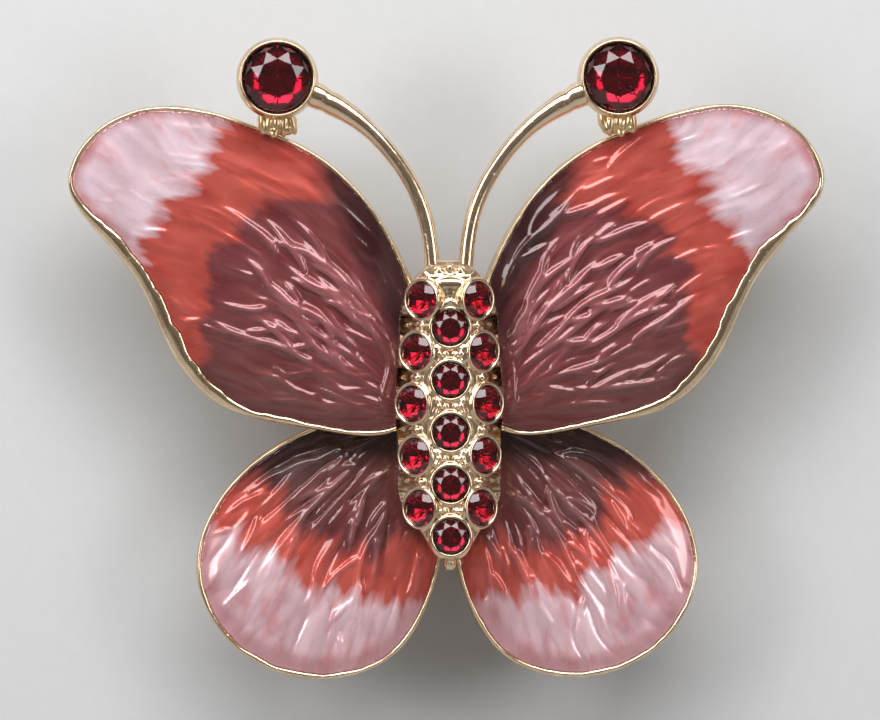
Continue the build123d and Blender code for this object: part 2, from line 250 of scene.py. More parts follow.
def inside(points: np.ndarray, loop: np.ndarray) -> np.ndarray:
    """Which points lie inside a closed loop.

    Args:
        points: N places.
        loop: the loop's points, in order.

    Returns:
        True for each place inside.
    """
    x, y = points[:, 0], points[:, 1]
    result = np.zeros(len(points), bool)
    for (x0, y0), (x1, y1) in zip(loop, np.roll(loop, -1, axis=0)):
        if y0 == y1:
            continue
        crosses = (y0 > y) != (y1 > y)
        result ^= crosses & (x < (x1 - x0) * (y - y0) / (y1 - y0) + x0)
    return result


def fill_loop(loop: np.ndarray, spacing: float) -> tuple[np.ndarray, Faces]:
    """Even triangles inside a closed loop.

    Args:
        loop: the loop's points, kept as the first points of the result.
        spacing: distance between the points added inside.

    Returns:
        All points, and the triangles as indexes into them, facing up.
    """
    low, high = loop.min(0), loop.max(0)
    rows = np.arange(low[1], high[1], spacing * 0.866)
    grid = []
    for i, y in enumerate(rows):
        xs = np.arange(low[0] + (i % 2) * spacing / 2, high[0], spacing)
        grid.append(np.stack([xs, np.full(len(xs), y)], axis=1))
    inner = np.concatenate(grid)
    inner = inner[inside(inner, loop)]
    inner = inner[gap_to(inner, loop) > spacing * 0.45]
    points = np.vstack([loop, inner])
    edges = [(i, (i + 1) % len(loop)) for i in range(len(loop))]
    vertices, _, faces, origin, _, _ = delaunay_2d_cdt([Vector(p) for p in points], edges, [], 0, 1e-7)
    centres = np.array([np.mean([vertices[i] for i in face], axis=0) for face in faces])
    keep = inside(centres, loop)
    number = [source[0] if source else -1 for source in origin]
    triangles = []
    for face, kept in zip(faces, keep):
        ids = tuple(number[i] for i in face)
        if not kept or -1 in ids:
            continue
        a, b, c = (points[i] for i in ids)
        turn = (b[0] - a[0]) * (c[1] - a[1]) - (b[1] - a[1]) * (c[0] - a[0])
        triangles.append(ids if turn > 0 else ids[::-1])
    return points, triangles


def make_object(
    name: str, points: np.ndarray, faces: Iterable[Sequence[int]], smooth_faces: bool = True
) -> bpy.types.Object:
    """Mesh object in the worn frame.

    Args:
        name: the piece's name.
        points: places in metres.
        faces: indexes into the points.
        smooth_faces: whether the faces are shaded smooth.

    Returns:
        The new object, linked to the scene.
    """
    mesh = bpy.data.meshes.new(name)
    mesh.from_pydata([tuple(p) for p in points], [], [tuple(f) for f in faces])
    mesh.polygons.foreach_set("use_smooth", [smooth_faces] * len(mesh.polygons))
    mesh.update()
    piece = bpy.data.objects.new(name, mesh)
    bpy.context.scene.collection.objects.link(piece)
    return piece


def from_bmesh(name: str, shape: bmesh.types.BMesh) -> bpy.types.Object:
    """Mesh object from an edit mesh, which is freed.

    Args:
        name: the piece's name.
        shape: the edit mesh, in metres.

    Returns:
        The new object, linked to the scene.
    """
    mesh = bpy.data.meshes.new(name)
    shape.to_mesh(mesh)
    shape.free()
    mesh.polygons.foreach_set("use_smooth", [True] * len(mesh.polygons))
    piece = bpy.data.objects.new(name, mesh)
    bpy.context.scene.collection.objects.link(piece)
    return piece


def store(piece: bpy.types.Object, name: str, values: np.ndarray) -> None:
    """Keep one number per point on a piece."""
    piece.data.attributes.new(name, "FLOAT", "POINT").data.foreach_set("value", values.astype(np.float32))


def store_map(piece: bpy.types.Object, name: str, values: np.ndarray) -> None:
    """Keep two numbers per point on a piece as a UV map.

    Args:
        piece: the object.
        name: the map's name.
        values: two numbers for each point.
    """
    layer = piece.data.uv_layers.new(name=name)
    corner = np.zeros(len(piece.data.loops), np.int32)
    piece.data.loops.foreach_get("vertex_index", corner)
    layer.data.foreach_set("uv", values[corner].astype(np.float32).ravel())


def revolve(profile: Sequence[Point], steps: int) -> tuple[np.ndarray, Faces]:
    """Surface of a profile turned about z.

    Args:
        profile: radius and height of each point; a radius of 0 at an end closes it.
        steps: faces round the axis.

    Returns:
        Points and faces.
    """
    points, faces, rings = [], [], []
    for radius, height in profile:
        if radius == 0:
            rings.append([len(points)])
            points.append((0.0, 0.0, height))
            continue
        rings.append(list(range(len(points), len(points) + steps)))
        for i in range(steps):
            angle = 2 * math.pi * i / steps
            points.append((radius * math.cos(angle), radius * math.sin(angle), height))
    for low, high in zip(rings, rings[1:]):
        for i in range(steps):
            j = (i + 1) % steps
            if len(low) == 1 and len(high) > 1:
                faces.append((low[0], high[j], high[i]))
            elif len(high) == 1 and len(low) > 1:
                faces.append((low[i], low[j], high[0]))
            elif len(low) > 1 and len(high) > 1:
                faces.append((low[i], low[j], high[j], high[i]))
    return np.array(points), faces


def place_matrix(x: float, y: float, z: float, lean: float = 0.0) -> Matrix:
    """Bench place with z leaned toward +x by an angle."""
    return Matrix.Translation((x, y, z)) @ Matrix.Rotation(lean, 4, "Y")


BENCH_TO_WORN = Matrix.Scale(MM, 4) @ Matrix(((1, 0, 0, 0), (0, 0, -1, 0), (0, 1, 0, -PIN_Y), (0, 0, 0, 1)))


def moved(points: np.ndarray, matrix: Matrix) -> np.ndarray:
    """Points turned and moved by a matrix."""
    m = np.array(matrix)
    return points @ m[:3, :3].T + m[:3, 3]


# ---------------------------------------------------------------------------------------------
# Finishes
# ---------------------------------------------------------------------------------------------

Socket = bpy.types.NodeSocket


class Tree:
    """Short calls for building a node tree."""

    def __init__(self, nodes: bpy.types.NodeTree) -> None:
        """Keep the tree that nodes are added to."""
        self.tree = nodes

    def add(self, kind: str, inputs: Optional[dict] = None, **settings: object) -> bpy.types.Node:
        """Add a node.

        Args:
            kind: the node's type name.
            inputs: values or sockets for its inputs, by name or number.
            settings: properties to set on the node.

        Returns:
            The node.
        """
        node = self.tree.nodes.new(kind)
        for key, value in settings.items():
            setattr(node, key, value)
        for key, value in (inputs or {}).items():
            self.feed(node.inputs[key], value)
        return node

    def feed(self, socket: Socket, value: object) -> None:
        """Link a socket to an input, or set its value.

        Args:
            socket: the input.
            value: a socket, a plain value, or None to leave the input as it is.
        """
        if isinstance(value, bpy.types.NodeSocket):
            self.tree.links.new(value, socket)
        elif value is not None:
            socket.default_value = value

    def math(self, operation: str, a: object, b: object = None, clamp: bool = False) -> Socket:
        """One arithmetic step."""
        node = self.add("ShaderNodeMath", {0: a, 1: b}, operation=operation, use_clamp=clamp)
        return node.outputs[0]

    def ramp_to(
        self, value: Socket, low: float, high: float, to_low: float = 0.0, to_high: float = 1.0
    ) -> Socket:
        """Smooth step of a value between two levels, brought to a range."""
        inputs = {"Value": value, "From Min": low, "From Max": high, "To Min": to_low, "To Max": to_high}
        return self.add("ShaderNodeMapRange", inputs, interpolation_type="SMOOTHSTEP").outputs[0]

    def mix(self, share: object, a: object, b: object, blend: str = "MIX") -> Socket:
        """Blend two colours.

        Args:
            share: how much of the second colour.
            a: first colour or socket.
            b: second colour or socket.
            blend: how the colours are combined.

        Returns:
            The blended colour.
        """
        node = self.add("ShaderNodeMix", data_type="RGBA", blend_type=blend)
        self.feed(node.inputs["Factor"], share)
        self.feed(node.inputs[6], a)
        self.feed(node.inputs[7], b)
        return node.outputs[2]

    def noise(self, vector: Socket, scale: float, detail: float, roughness: float) -> Socket:
        """Cloudy noise from 0 to 1."""
        inputs = {"Vector": vector, "Scale": scale, "Detail": detail, "Roughness": roughness}
        return self.add("ShaderNodeTexNoise", inputs).outputs[0]

    def stretched(self, vector: Socket, scale: Sequence[float]) -> Socket:
        """A vector scaled by a different amount along each axis.

        Args:
            vector: the vector's socket.
            scale: the amount along x, y and z.

        Returns:
            The scaled vector.
        """
        return self.add(
            "ShaderNodeMapping", {"Vector": vector, "Scale": scale}, vector_type="POINT"
        ).outputs[0]

    def place(self) -> Socket:
        """The object's own coordinates, in metres."""
        return self.add("ShaderNodeTexCoord").outputs["Object"]

    def value_of(self, name: str) -> Socket:
        """A number stored on the mesh."""
        return self.add("ShaderNodeAttribute", attribute_name=name).outputs["Fac"]

    def bump(self, height: Socket, strength: float, distance: float) -> Socket:
        """Normal raised by a height, in metres."""
        inputs = {"Height": height, "Strength": strength, "Distance": distance}
        return self.add("ShaderNodeBump", inputs).outputs[0]


NewGroup = tuple[bpy.types.NodeTree, Tree, bpy.types.Node, bpy.types.Node]


def new_group(name: str, inputs: Sequence[tuple], outputs: Sequence[tuple]) -> NewGroup:
    """Start a shader node group.

    Args:
        name: the group's name.
        inputs: name, socket type and value of each input.
        outputs: name and socket type of each output.

    Returns:
        The group, its tree helper, and its input and output nodes.
    """
    group = bpy.data.node_groups.new(name, "ShaderNodeTree")
    for label, kind, value in inputs:
        socket = group.interface.new_socket(name=label, in_out="INPUT", socket_type=kind)
        if value is not None:
            socket.default_value = value
    for label, kind in outputs:
        group.interface.new_socket(name=label, in_out="OUTPUT", socket_type=kind)
    tree = Tree(group)
    return group, tree, tree.add("NodeGroupInput"), tree.add("NodeGroupOutput")


FLOAT = "NodeSocketFloat"
COLOR = "NodeSocketColor"
VECTOR = "NodeSocketVector"


def cast_surface_group() -> bpy.types.NodeTree:
    """Group that gives cast and polished metal its uneven tone, roughness and height.

    Returns:
        The group.
    """
    group, t, given, out = new_group(
        "cast_surface",
        [
            ("Bright", COLOR, (1, 1, 1, 1)),
            ("Deep", COLOR, (0.5, 0.4, 0.2, 1)),
            ("Grain", FLOAT, 1.0),
            ("Polish", FLOAT, 0.15),
        ],
        [("Color", COLOR), ("Roughness", FLOAT), ("Height", FLOAT)],
    )
    place = t.place()
    cloud = t.noise(place, scale=420.0, detail=4.0, roughness=0.6)
    pits = t.noise(place, scale=2600.0, detail=3.0, roughness=0.55)
    scratches = t.noise(t.stretched(place, (900.0, 9000.0, 2400.0)), scale=1.0, detail=2.0, roughness=0.5)
    pit_mask = t.ramp_to(pits, low=0.60, high=0.74)
    tone = t.math("MULTIPLY", t.ramp_to(cloud, low=0.35, high=0.7), 0.55)
    tone = t.math("ADD", tone, t.math("MULTIPLY", pit_mask, 0.35), clamp=True)
    t.feed(out.inputs["Color"], t.mix(tone, given.outputs["Bright"], given.outputs["Deep"]))
    rough = t.math("ADD", given.outputs["Polish"], t.math("MULTIPLY", cloud, 0.12))
    rough = t.math("ADD", rough, t.math("MULTIPLY", t.ramp_to(scratches, low=0.55, high=0.75), 0.08))
    t.feed(out.inputs["Roughness"], t.math("ADD", rough, t.math("MULTIPLY", pit_mask, 0.2)))
    height = t.math("SUBTRACT", t.math("MULTIPLY", cloud, 0.8), t.math("MULTIPLY", pit_mask, 0.5))
    t.feed(out.inputs["Height"], t.math("MULTIPLY", height, given.outputs["Grain"]))
    return group


def ragged_border_group() -> bpy.types.NodeTree:
    """Group that turns a distance from a border into a feathered mask, torn along the brush's way.

    Returns:
        The group.
    """
    group, t, given, out = new_group(
        "ragged_border",
        [
            ("Distance", FLOAT, 0.0),
            ("Way", VECTOR, None),
            ("Tear", FLOAT, 1.5),
            ("Soft", FLOAT, 0.35),
            ("Shift", FLOAT, 0.0),
        ],
        [("Mask", FLOAT)],
    )
    shifted = t.add("ShaderNodeVectorMath", {0: given.outputs["Way"]}, operation="ADD")
    t.feed(shifted.inputs[1], t.add("ShaderNodeCombineXYZ", {"Z": given.outputs["Shift"]}).outputs[0])
    way = shifted.outputs[0]
    feather = t.noise(t.stretched(way, (0.15, 0.6, 1.0)), scale=1.0, detail=3.0, roughness=0.55)
    blot = t.noise(t.stretched(way, (0.3, 0.45, 1.0)), scale=1.0, detail=2.0, roughness=0.5)
    thin = t.math("MULTIPLY", t.math("SUBTRACT", feather, 0.5), 2.4)
    wide = t.math("MULTIPLY", t.math("SUBTRACT", blot, 0.5), 1.6)
    torn = t.math("ADD", thin, wide)
    moved_by = t.math("ADD", given.outputs["Distance"], t.math("MULTIPLY", torn, given.outputs["Tear"]))
    share = t.math("DIVIDE", moved_by, given.outputs["Soft"])
    t.feed(out.inputs["Mask"], t.math("ADD", share, 0.5, clamp=True))
    return group


GROUPS: dict[str, bpy.types.NodeTree] = {}


def shared_group(name: str, build: Callable[[], bpy.types.NodeTree]) -> bpy.types.NodeTree:
    """The group of that name, built when first asked for.

    Args:
        name: the group's name.
        build: makes the group.

    Returns:
        The group.
    """
    if name not in GROUPS:
        GROUPS[name] = build()
    return GROUPS[name]


def start_material(name: str) -> tuple[bpy.types.Material, Tree, bpy.types.Node]:
    """New material with a Principled shader.

    Args:
        name: the material's name.

    Returns:
        The material, its tree helper and the shader node.
    """
    material = bpy.data.materials.new(name)
    material.use_nodes = True
    material.node_tree.nodes.clear()
    tree = Tree(material.node_tree)
    shader = tree.add("ShaderNodeBsdfPrincipled")
    tree.add("ShaderNodeOutputMaterial", {"Surface": shader.outputs[0]})
    return material, tree, shader


@dataclass(frozen=True)
class MetalFinish:
    """Cast or drawn metal with a thin plating."""

    name: str
    bright: Color
    deep: Color
    grain: float
    polish: float
    relief_mm: float = 0.03
    # brown of the hollows: tarnish, and painted shade where light reaches less
    hollow_shade_and_tarnish: Color = (0.16, 0.075, 0.04)

    def material(self) -> bpy.types.Material:
        """Build the metal's material.

        Returns:
            The material.
        """
        material, t, shader = start_material(self.name)
        surface = t.add("ShaderNodeGroup", node_tree=shared_group("cast_surface", cast_surface_group))
        t.feed(surface.inputs["Bright"], (*self.bright, 1))
        t.feed(surface.inputs["Deep"], (*self.deep, 1))
        t.feed(surface.inputs["Grain"], self.grain)
        t.feed(surface.inputs["Polish"], self.polish)
        hollow = t.value_of("hollow")
        # recesses darkened toward brown: tarnish, and painted shade
        shaded_and_tarnished = t.mix(t.math("MULTIPLY", hollow, 0.85), surface.outputs["Color"], (*self.hollow_shade_and_tarnish, 1))
        t.feed(shader.inputs["Base Color"], shaded_and_tarnished)
        rough = t.math("ADD", surface.outputs["Roughness"], t.math("MULTIPLY", hollow, 0.3), clamp=True)
        t.feed(shader.inputs["Roughness"], rough)
        shader.inputs["Metallic"].default_value = 1.0
        t.feed(
            shader.inputs["Normal"],
            t.bump(surface.outputs["Height"], strength=0.6, distance=self.relief_mm * MM),
        )
        return material


@dataclass(frozen=True)
class EnamelFinish:
    """Pearly enamel, hand-tinted in three colours over raised veins, with painted shade and, on the lower
    wings, a painted shadow.
    """

    name: str
    seed: float
    # dark plum enamel on the upper wings; on the lower wings a painted shadow of the upper wing
    plum: Color
    burgundy: Color
    pink: Color
    coral_soft: float
    coral: Color = (0.54, 0.095, 0.07)
    margin: Color = (0.66, 0.36, 0.37)
    # painted shade: darker brown where the wing gets less light
    painted_shade: Color = (0.15, 0.058, 0.048)
    sheen: Color = (0.95, 0.78, 0.80)
    tear: float = 2.0
    seed_step: float = 7.3

    def material(self) -> bpy.types.Material:
        """Build the enamel's material.

        Returns:
            The material.
        """
        material, t, shader = start_material(self.name)
        way = t.add("ShaderNodeUVMap", uv_map="brush_way").outputs[0]
        border = shared_group("ragged_border", ragged_border_group)
        masks = {}
        kinds = {
            "coral_at": (self.coral_soft, self.tear), "pink_at": (1.3, self.tear), "plum_and_shadow_at": (1.8, 0.8),
            "edge_at": (0.7, 0.45), "painted_shade_at": (3.0, 1.2),
        }
        for label, (soft, tear) in kinds.items():
            node = t.add("ShaderNodeGroup", {"Distance": t.value_of(label), "Way": way}, node_tree=border)
            node.inputs["Soft"].default_value = soft
            node.inputs["Tear"].default_value = tear
            node.inputs["Shift"].default_value = self.seed + len(masks) * self.seed_step
            masks[label] = node.outputs["Mask"]
        place = t.place()
        streak = t.noise(t.stretched(way, (0.25, 0.9, 1.0)), scale=1.0, detail=1.5, roughness=0.5)
        cloud = t.noise(place, scale=330.0, detail=3.0, roughness=0.5)
        relief = t.value_of("relief")
        # painted shade: burgundy darkened toward brown where the wing gets less light
        color = t.mix(t.math("MULTIPLY", masks["painted_shade_at"], 0.6), (*self.burgundy, 1), (*self.painted_shade, 1))
        color = t.mix(masks["coral_at"], color, (*self.coral, 1))
        color = t.mix(masks["pink_at"], color, (*self.pink, 1))
        inner = t.math("SUBTRACT", 1.0, masks["edge_at"])
        rim = t.math("MULTIPLY", t.math("MULTIPLY", inner, masks["pink_at"]), 0.85)
        color = t.mix(rim, color, (*self.margin, 1))
        # plum enamel on the upper wings; on the lower wings this paints the shadow of the upper wing
        color = t.mix(t.math("MULTIPLY", masks["plum_and_shadow_at"], 0.9), color, (*self.plum, 1))
        deep = t.mix(1.0, color, (0.62, 0.50, 0.52, 1), "MULTIPLY")
        color = t.mix(t.ramp_to(streak, low=0.35, high=0.65, to_low=0.3, to_high=0.0), color, deep)
        pale = t.mix(0.07, t.mix(1.0, color, (1.5, 1.45, 1.5, 1), "MULTIPLY"), (*self.sheen, 1))
        color = t.mix(t.ramp_to(relief, low=0.5, high=1.0, to_low=0.0, to_high=0.8), color, pale)
        color = t.mix(t.ramp_to(relief, low=0.0, high=0.4, to_low=0.6, to_high=0.0), color, deep)
        color = t.mix(t.ramp_to(cloud, low=0.4, high=0.75, to_low=0.0, to_high=0.2), color, pale)
        blush = t.mix(1.0, color, (0.92, 0.62, 0.60, 1), "MULTIPLY")
        blot = t.noise(t.stretched(way, (0.3, 0.55, 1.0)), scale=1.0, detail=3.0, roughness=0.6)
        color = t.mix(t.ramp_to(blot, low=0.48, high=0.68, to_low=0.0, to_high=0.75), color, blush)
        t.feed(shader.inputs["Base Color"], color)
        t.feed(shader.inputs["Roughness"], t.ramp_to(streak, low=0.3, high=0.7, to_low=0.24, to_high=0.40))
        shader.inputs["Metallic"].default_value = 0.30
        shader.inputs["Coat Weight"].default_value = 1.0
        shader.inputs["Coat Roughness"].default_value = 0.045
        shader.inputs["Coat IOR"].default_value = 1.48
        shader.inputs["Specular IOR Level"].default_value = 0.15
        fine = t.noise(t.stretched(way, (0.5, 1.8, 1.0)), scale=1.0, detail=0.5, roughness=0.5)
        t.feed(shader.inputs["Normal"], t.bump(fine, strength=0.05, distance=0.06 * MM))
        t.feed(
            shader.inputs["Coat Normal"],
            t.bump(t.noise(place, scale=700.0, detail=2.0, roughness=0.5), strength=0.25, distance=0.05 * MM),
        )
        return material


@dataclass(frozen=True)
class StoneFinish:
    """Deep red cut glass."""

    name: str
    color: Color = (0.38, 0.005, 0.021)

    def material(self) -> bpy.types.Material:
        """Build the glass's material.

        Returns:
            The material.
        """
        material, t, shader = start_material(self.name)
        cloud = t.noise(t.place(), scale=500.0, detail=2.0, roughness=0.5)
        deep = tuple(c * 0.72 for c in self.color)
        t.feed(shader.inputs["Base Color"], t.mix(cloud, (*self.color, 1), (*deep, 1)))
        scuff = t.noise(t.place(), scale=2200.0, detail=4.0, roughness=0.7)
        t.feed(shader.inputs["Roughness"], t.ramp_to(scuff, low=0.55, high=0.8, to_low=0.0, to_high=0.12))
        shader.inputs["Transmission Weight"].default_value = 1.0
        shader.inputs["IOR"].default_value = 1.62
        return material


GOLD = MetalFinish("gold_plate", (0.90, 0.70, 0.47), (0.60, 0.38, 0.23), 1.0, 0.13)
GOLD_CAST = MetalFinish("gold_plate_cast", (0.86, 0.64, 0.38), (0.52, 0.32, 0.16), 2.2, 0.24, 0.06)
GOLD_WIRE = MetalFinish("gold_wire", (0.92, 0.73, 0.51), (0.64, 0.42, 0.26), 0.6, 0.11)
PIN_METAL = MetalFinish("pin_metal", (0.80, 0.68, 0.45), (0.58, 0.47, 0.28), 0.5, 0.16)
FOIL = MetalFinish("stone_foil", (0.92, 0.88, 0.86), (0.80, 0.72, 0.70), 0.5, 0.05, 0.01)
RED_GLASS = StoneFinish("red_glass")

Finish = MetalFinish | EnamelFinish | StoneFinish
MATERIALS: dict[str, bpy.types.Material] = {}


def dress(piece: bpy.types.Object, finish: Finish) -> None:
    """Give a piece its material.

    Args:
        piece: the object.
        finish: its finish; one material serves all pieces that have it.
    """
    if finish.name not in MATERIALS:
        MATERIALS[finish.name] = finish.material()
    piece.data.materials.clear()
    piece.data.materials.append(MATERIALS[finish.name])


def settle(piece: bpy.types.Object, finish: Finish, slot: str, body: str, *nodes: str) -> None:
    """Dress a finished piece, let it ride on a body and stand for CAD nodes.

    Args:
        piece: the object.
        finish: its finish.
        slot: the record's slot; not used.
        body: body that it moves with.
        nodes: CAD nodes that it stands for.
    """
    dress(piece, finish)
    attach(piece, body)
    if nodes:
        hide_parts(*nodes)
    LOG.info("%s: %d faces, rides on %s", piece.name, len(piece.data.polygons), body)


# ---------------------------------------------------------------------------------------------
# Body outline, shared by the wings that butt against it
# ---------------------------------------------------------------------------------------------


GIRDLE = 0.12
PAVILION_SHARE = 0.86


@dataclass
class StoneLayout:
    """Where the stones stand on the body."""

    radius: float = 1.35
    bezel_wall: float = 0.2
    gap: float = 0.62
    first_y: float = 5.1
    spread: tuple[float, ...] = (0.35, 0.75, 1.05, 0.85, 0.55)
    rise: float = 0.15
    girdle: float = GIRDLE

    @property
    def bezel(self) -> float:
        """Outer radius of a bezel."""
        return self.radius + self.bezel_wall

    @property
    def pitch(self) -> float:
        """Distance from one centre stone to the next."""
        return 2 * self.bezel + self.gap

    def centres(self) -> list[float]:
        """Height of each centre stone along the body."""
        return [self.first_y - i * self.pitch for i in range(len(self.spread))]

    def sides(self) -> list[Point]:
        """Place of each side stone on the right flank."""
        return [(s + self.bezel, y + self.pitch / 2 + self.rise) for s, y in zip(self.spread, self.centres())]

    def places(self) -> dict[str, Matrix]:
        """Place of each body stone, with z out of its girdle's lower edge.

        Returns:
            Bench place for each stone's node name.
        """
        found = {}
        for i, (centre_y, (x, y)) in enumerate(zip(self.centres(), self.sides())):
            found[f"centre_stone_{i + 1}"] = place_matrix(0, centre_y, BODY_TOP)
            found[f"right_stone_{i + 1}"] = place_matrix(x, y, flank_z(x), FLANK_SLOPE)
            found[f"left_stone_{i + 1}"] = place_matrix(-x, y, flank_z(x), -FLANK_SLOPE)
        return found

    def outline(self) -> ClosedCurve:
        """Outline of the body seen from the face.

        Returns:
            A closed curve, down the right side first.
        """
        beside = self.bezel * math.cos(FLANK_SLOPE) + 0.05
        head_end = self.sides()[0][1] + 2.8
        last_y = self.centres()[-1]
        right = [(0.9, head_end), (2.2, head_end - 1.1)]
        right += [(x + beside, y) for x, y in self.sides()]
        right += [(self.bezel + 0.35, last_y), (0.8, last_y - self.bezel)]
        return ClosedCurve(right + [(-x, y) for x, y in reversed(right)])


def flank_z(x: float) -> float:
    """Height of the body's surface at x."""
    return BODY_TOP - max(0.0, abs(x) - RIDGE_HALF) * math.tan(FLANK_SLOPE)


BODY_LOOP = StoneLayout().outline().sample(24)


def body_half(y: np.ndarray) -> np.ndarray:
    """Half-width of the body at each y, zero past its ends.

    Args:
        y: heights along the body.

    Returns:
        One half-width for each height.
    """
    right = BODY_LOOP[BODY_LOOP[:, 0] >= 0]
    right = right[np.argsort(right[:, 1])]
    return np.interp(y, right[:, 1], right[:, 0], left=0.0, right=0.0)


# ---------------------------------------------------------------------------------------------
# Wings
# ---------------------------------------------------------------------------------------------


@dataclass
class VeinPlan:
    """How the raised veins run over a wing."""

    root: Point
    far_angle: float
    turn_reach: float
    turn_power: float
    turn_most: float
    fan: Point
    ribs: int
    loose: int
    across: float
    pillow: float
    far: float
    height: float
    width: float
    centre: Point
    spread: Point
    fan_radius: float = 14.0
    step: float = 0.2
    sway_most: float = 0.22
    branch_fade: float = 1.9
    start_tries: int = 3000

    def heading(self, points: np.ndarray) -> np.ndarray:
        """Direction of the veins at each point, in radians.

        Args:
            points: N places.

        Returns:
            One angle for each place.
        """
        off = points - np.array(self.root)
        radial = np.arctan2(off[:, 1], off[:, 0])
        distance = np.hypot(off[:, 0], off[:, 1])
        share = np.clip(distance / self.turn_reach, 0, 1) ** self.turn_power * self.turn_most
        return radial * (1 - share) + math.radians(self.far_angle) * share

    def way(self, points: np.ndarray) -> np.ndarray:
        """Distance along the veins and place across them, for each point, in millimetres.

        Args:
            points: N places.

        Returns:
            Two numbers for each place.
        """
        off = points - np.array(self.root)
        distance = np.hypot(off[:, 0], off[:, 1])
        radial = np.arctan2(off[:, 1], off[:, 0])
        bent = np.clip(distance / self.turn_reach, 0, 1) ** self.turn_power * self.turn_most / self.turn_power
        across = (radial - math.radians(self.far_angle)) * np.exp(bent) * self.fan_radius
        return np.column_stack([distance, across])

    def ripples(self, points: np.ndarray, seed: int) -> np.ndarray:
        """Wavy crests that run with the veins, from 0 to 1.

        Args:
            points: N places.
            seed: number that fixes the pattern.

        Returns:
            One height for each place.
        """
        way = self.way(points)
        sway = 1.2 * value_noise(way / np.array([2.6, 1.7]) + 31.0, seed + 5)
        along, across = way[:, 0], way[:, 1] + sway
        coarse = value_noise(np.column_stack([along / 4.6, across / self.across]), seed)
        small = np.column_stack([along / 2.6, across / (0.55 * self.across)])
        fine = value_noise(small + 17.0, seed + 1)
        crest = 1.0 - np.abs(2.0 * coarse - 1.0)
        sharp = 1.0 - np.abs(2.0 * fine - 1.0)
        near = np.exp(-(((points - np.array(self.centre)) / (1.25 * np.array(self.spread))) ** 2).sum(1))
        folds = 0.62 * crest**1.4 + 0.38 * sharp**1.6 * crest
        pillows = 0.8 * (1.0 - crest**2.2) + 0.2 * (1.0 - sharp**2.0)
        return (folds + (pillows - folds) * self.pillow) * (self.far + (1.0 - self.far) * near)

    def trace(
        self,
        start: np.ndarray,
        length: float,
        turn: float,
        fade: float,
        strong: float,
        rng: np.random.Generator,
    ) -> np.ndarray:
        """One vein.

        Args:
            start: where it begins.
            length: how long it is.
            turn: angle from the field's way at its start.
            fade: length over which that angle dies away.
            strong: its ridge's share of the full height.
            rng: source of the random sway.

        Returns:
            x, y and the ridge's share of full height at each point.
        """
        sway = rng.uniform(-self.sway_most, self.sway_most)
        phase, pulse = rng.uniform(0, 6.28), rng.uniform(0, 6.28)
        at = start.copy()
        points = []
        for i in range(max(3, int(length / self.step))):
            gone = i * self.step
            share = gone / length
            ends = min(1.0, (share + 0.05) * 5, (1.03 - share) * 2.2)
            swell = 0.92 + 0.08 * math.sin(pulse + 1.1 * gone)
            local = math.exp(-(((at - np.array(self.centre)) / np.array(self.spread)) ** 2).sum())
            points.append((*at, strong * ends * swell * local**0.6))
            angle = self.heading(at[None])[0] + turn * math.exp(-gone / fade)
            angle += sway * math.sin(phase + 0.9 * gone)
            at = at + self.step * np.array([math.cos(angle), math.sin(angle)])
        return np.array(points)

    def grow(self, loop: np.ndarray, seed: int) -> list[np.ndarray]:
        """Branching veins inside a loop.

        Args:
            loop: the enamel's outline.
            seed: number that fixes the random draws.

        Returns:
            One array per vein: x, y and the ridge's share of full height at each point.
        """
        rng = np.random.default_rng(seed)
        veins = []
        first, last = (math.radians(a) for a in self.fan)
        for i in range(self.ribs):
            angle = first + (last - first) * (i + rng.uniform(0.1, 0.9)) / self.ribs
            reach = rng.uniform(2.5, 9.0)
            start = np.array(self.root) + reach * np.array([math.cos(angle), math.sin(angle)])
            rib = self.trace(
                start, rng.uniform(6.0, 14.0), rng.normal(0, 0.12), 3.0, rng.uniform(0.75, 1.0), rng
            )
            veins.append(rib)
            at = int(rng.uniform(3, 7))
            while at < len(rib) - 4:
                turn = rng.choice((-1.0, 1.0)) * rng.uniform(0.45, 0.85)
                strong = rng.uniform(0.6, 0.95)
                veins.append(
                    self.trace(rib[at, :2], rng.uniform(2.4, 6.0), turn, self.branch_fade, strong, rng)
                )
                at += int(rng.uniform(8, 15))
        starts = rng.uniform(loop.min(0), loop.max(0), (self.start_tries, 2))
        starts = starts[inside(starts, loop)][: self.loose]
        for start in starts:
            veins.append(
                self.trace(start, rng.uniform(1.5, 5.0), rng.normal(0, 0.3), 1.5, rng.uniform(0.35, 0.7), rng)
            )
        return veins


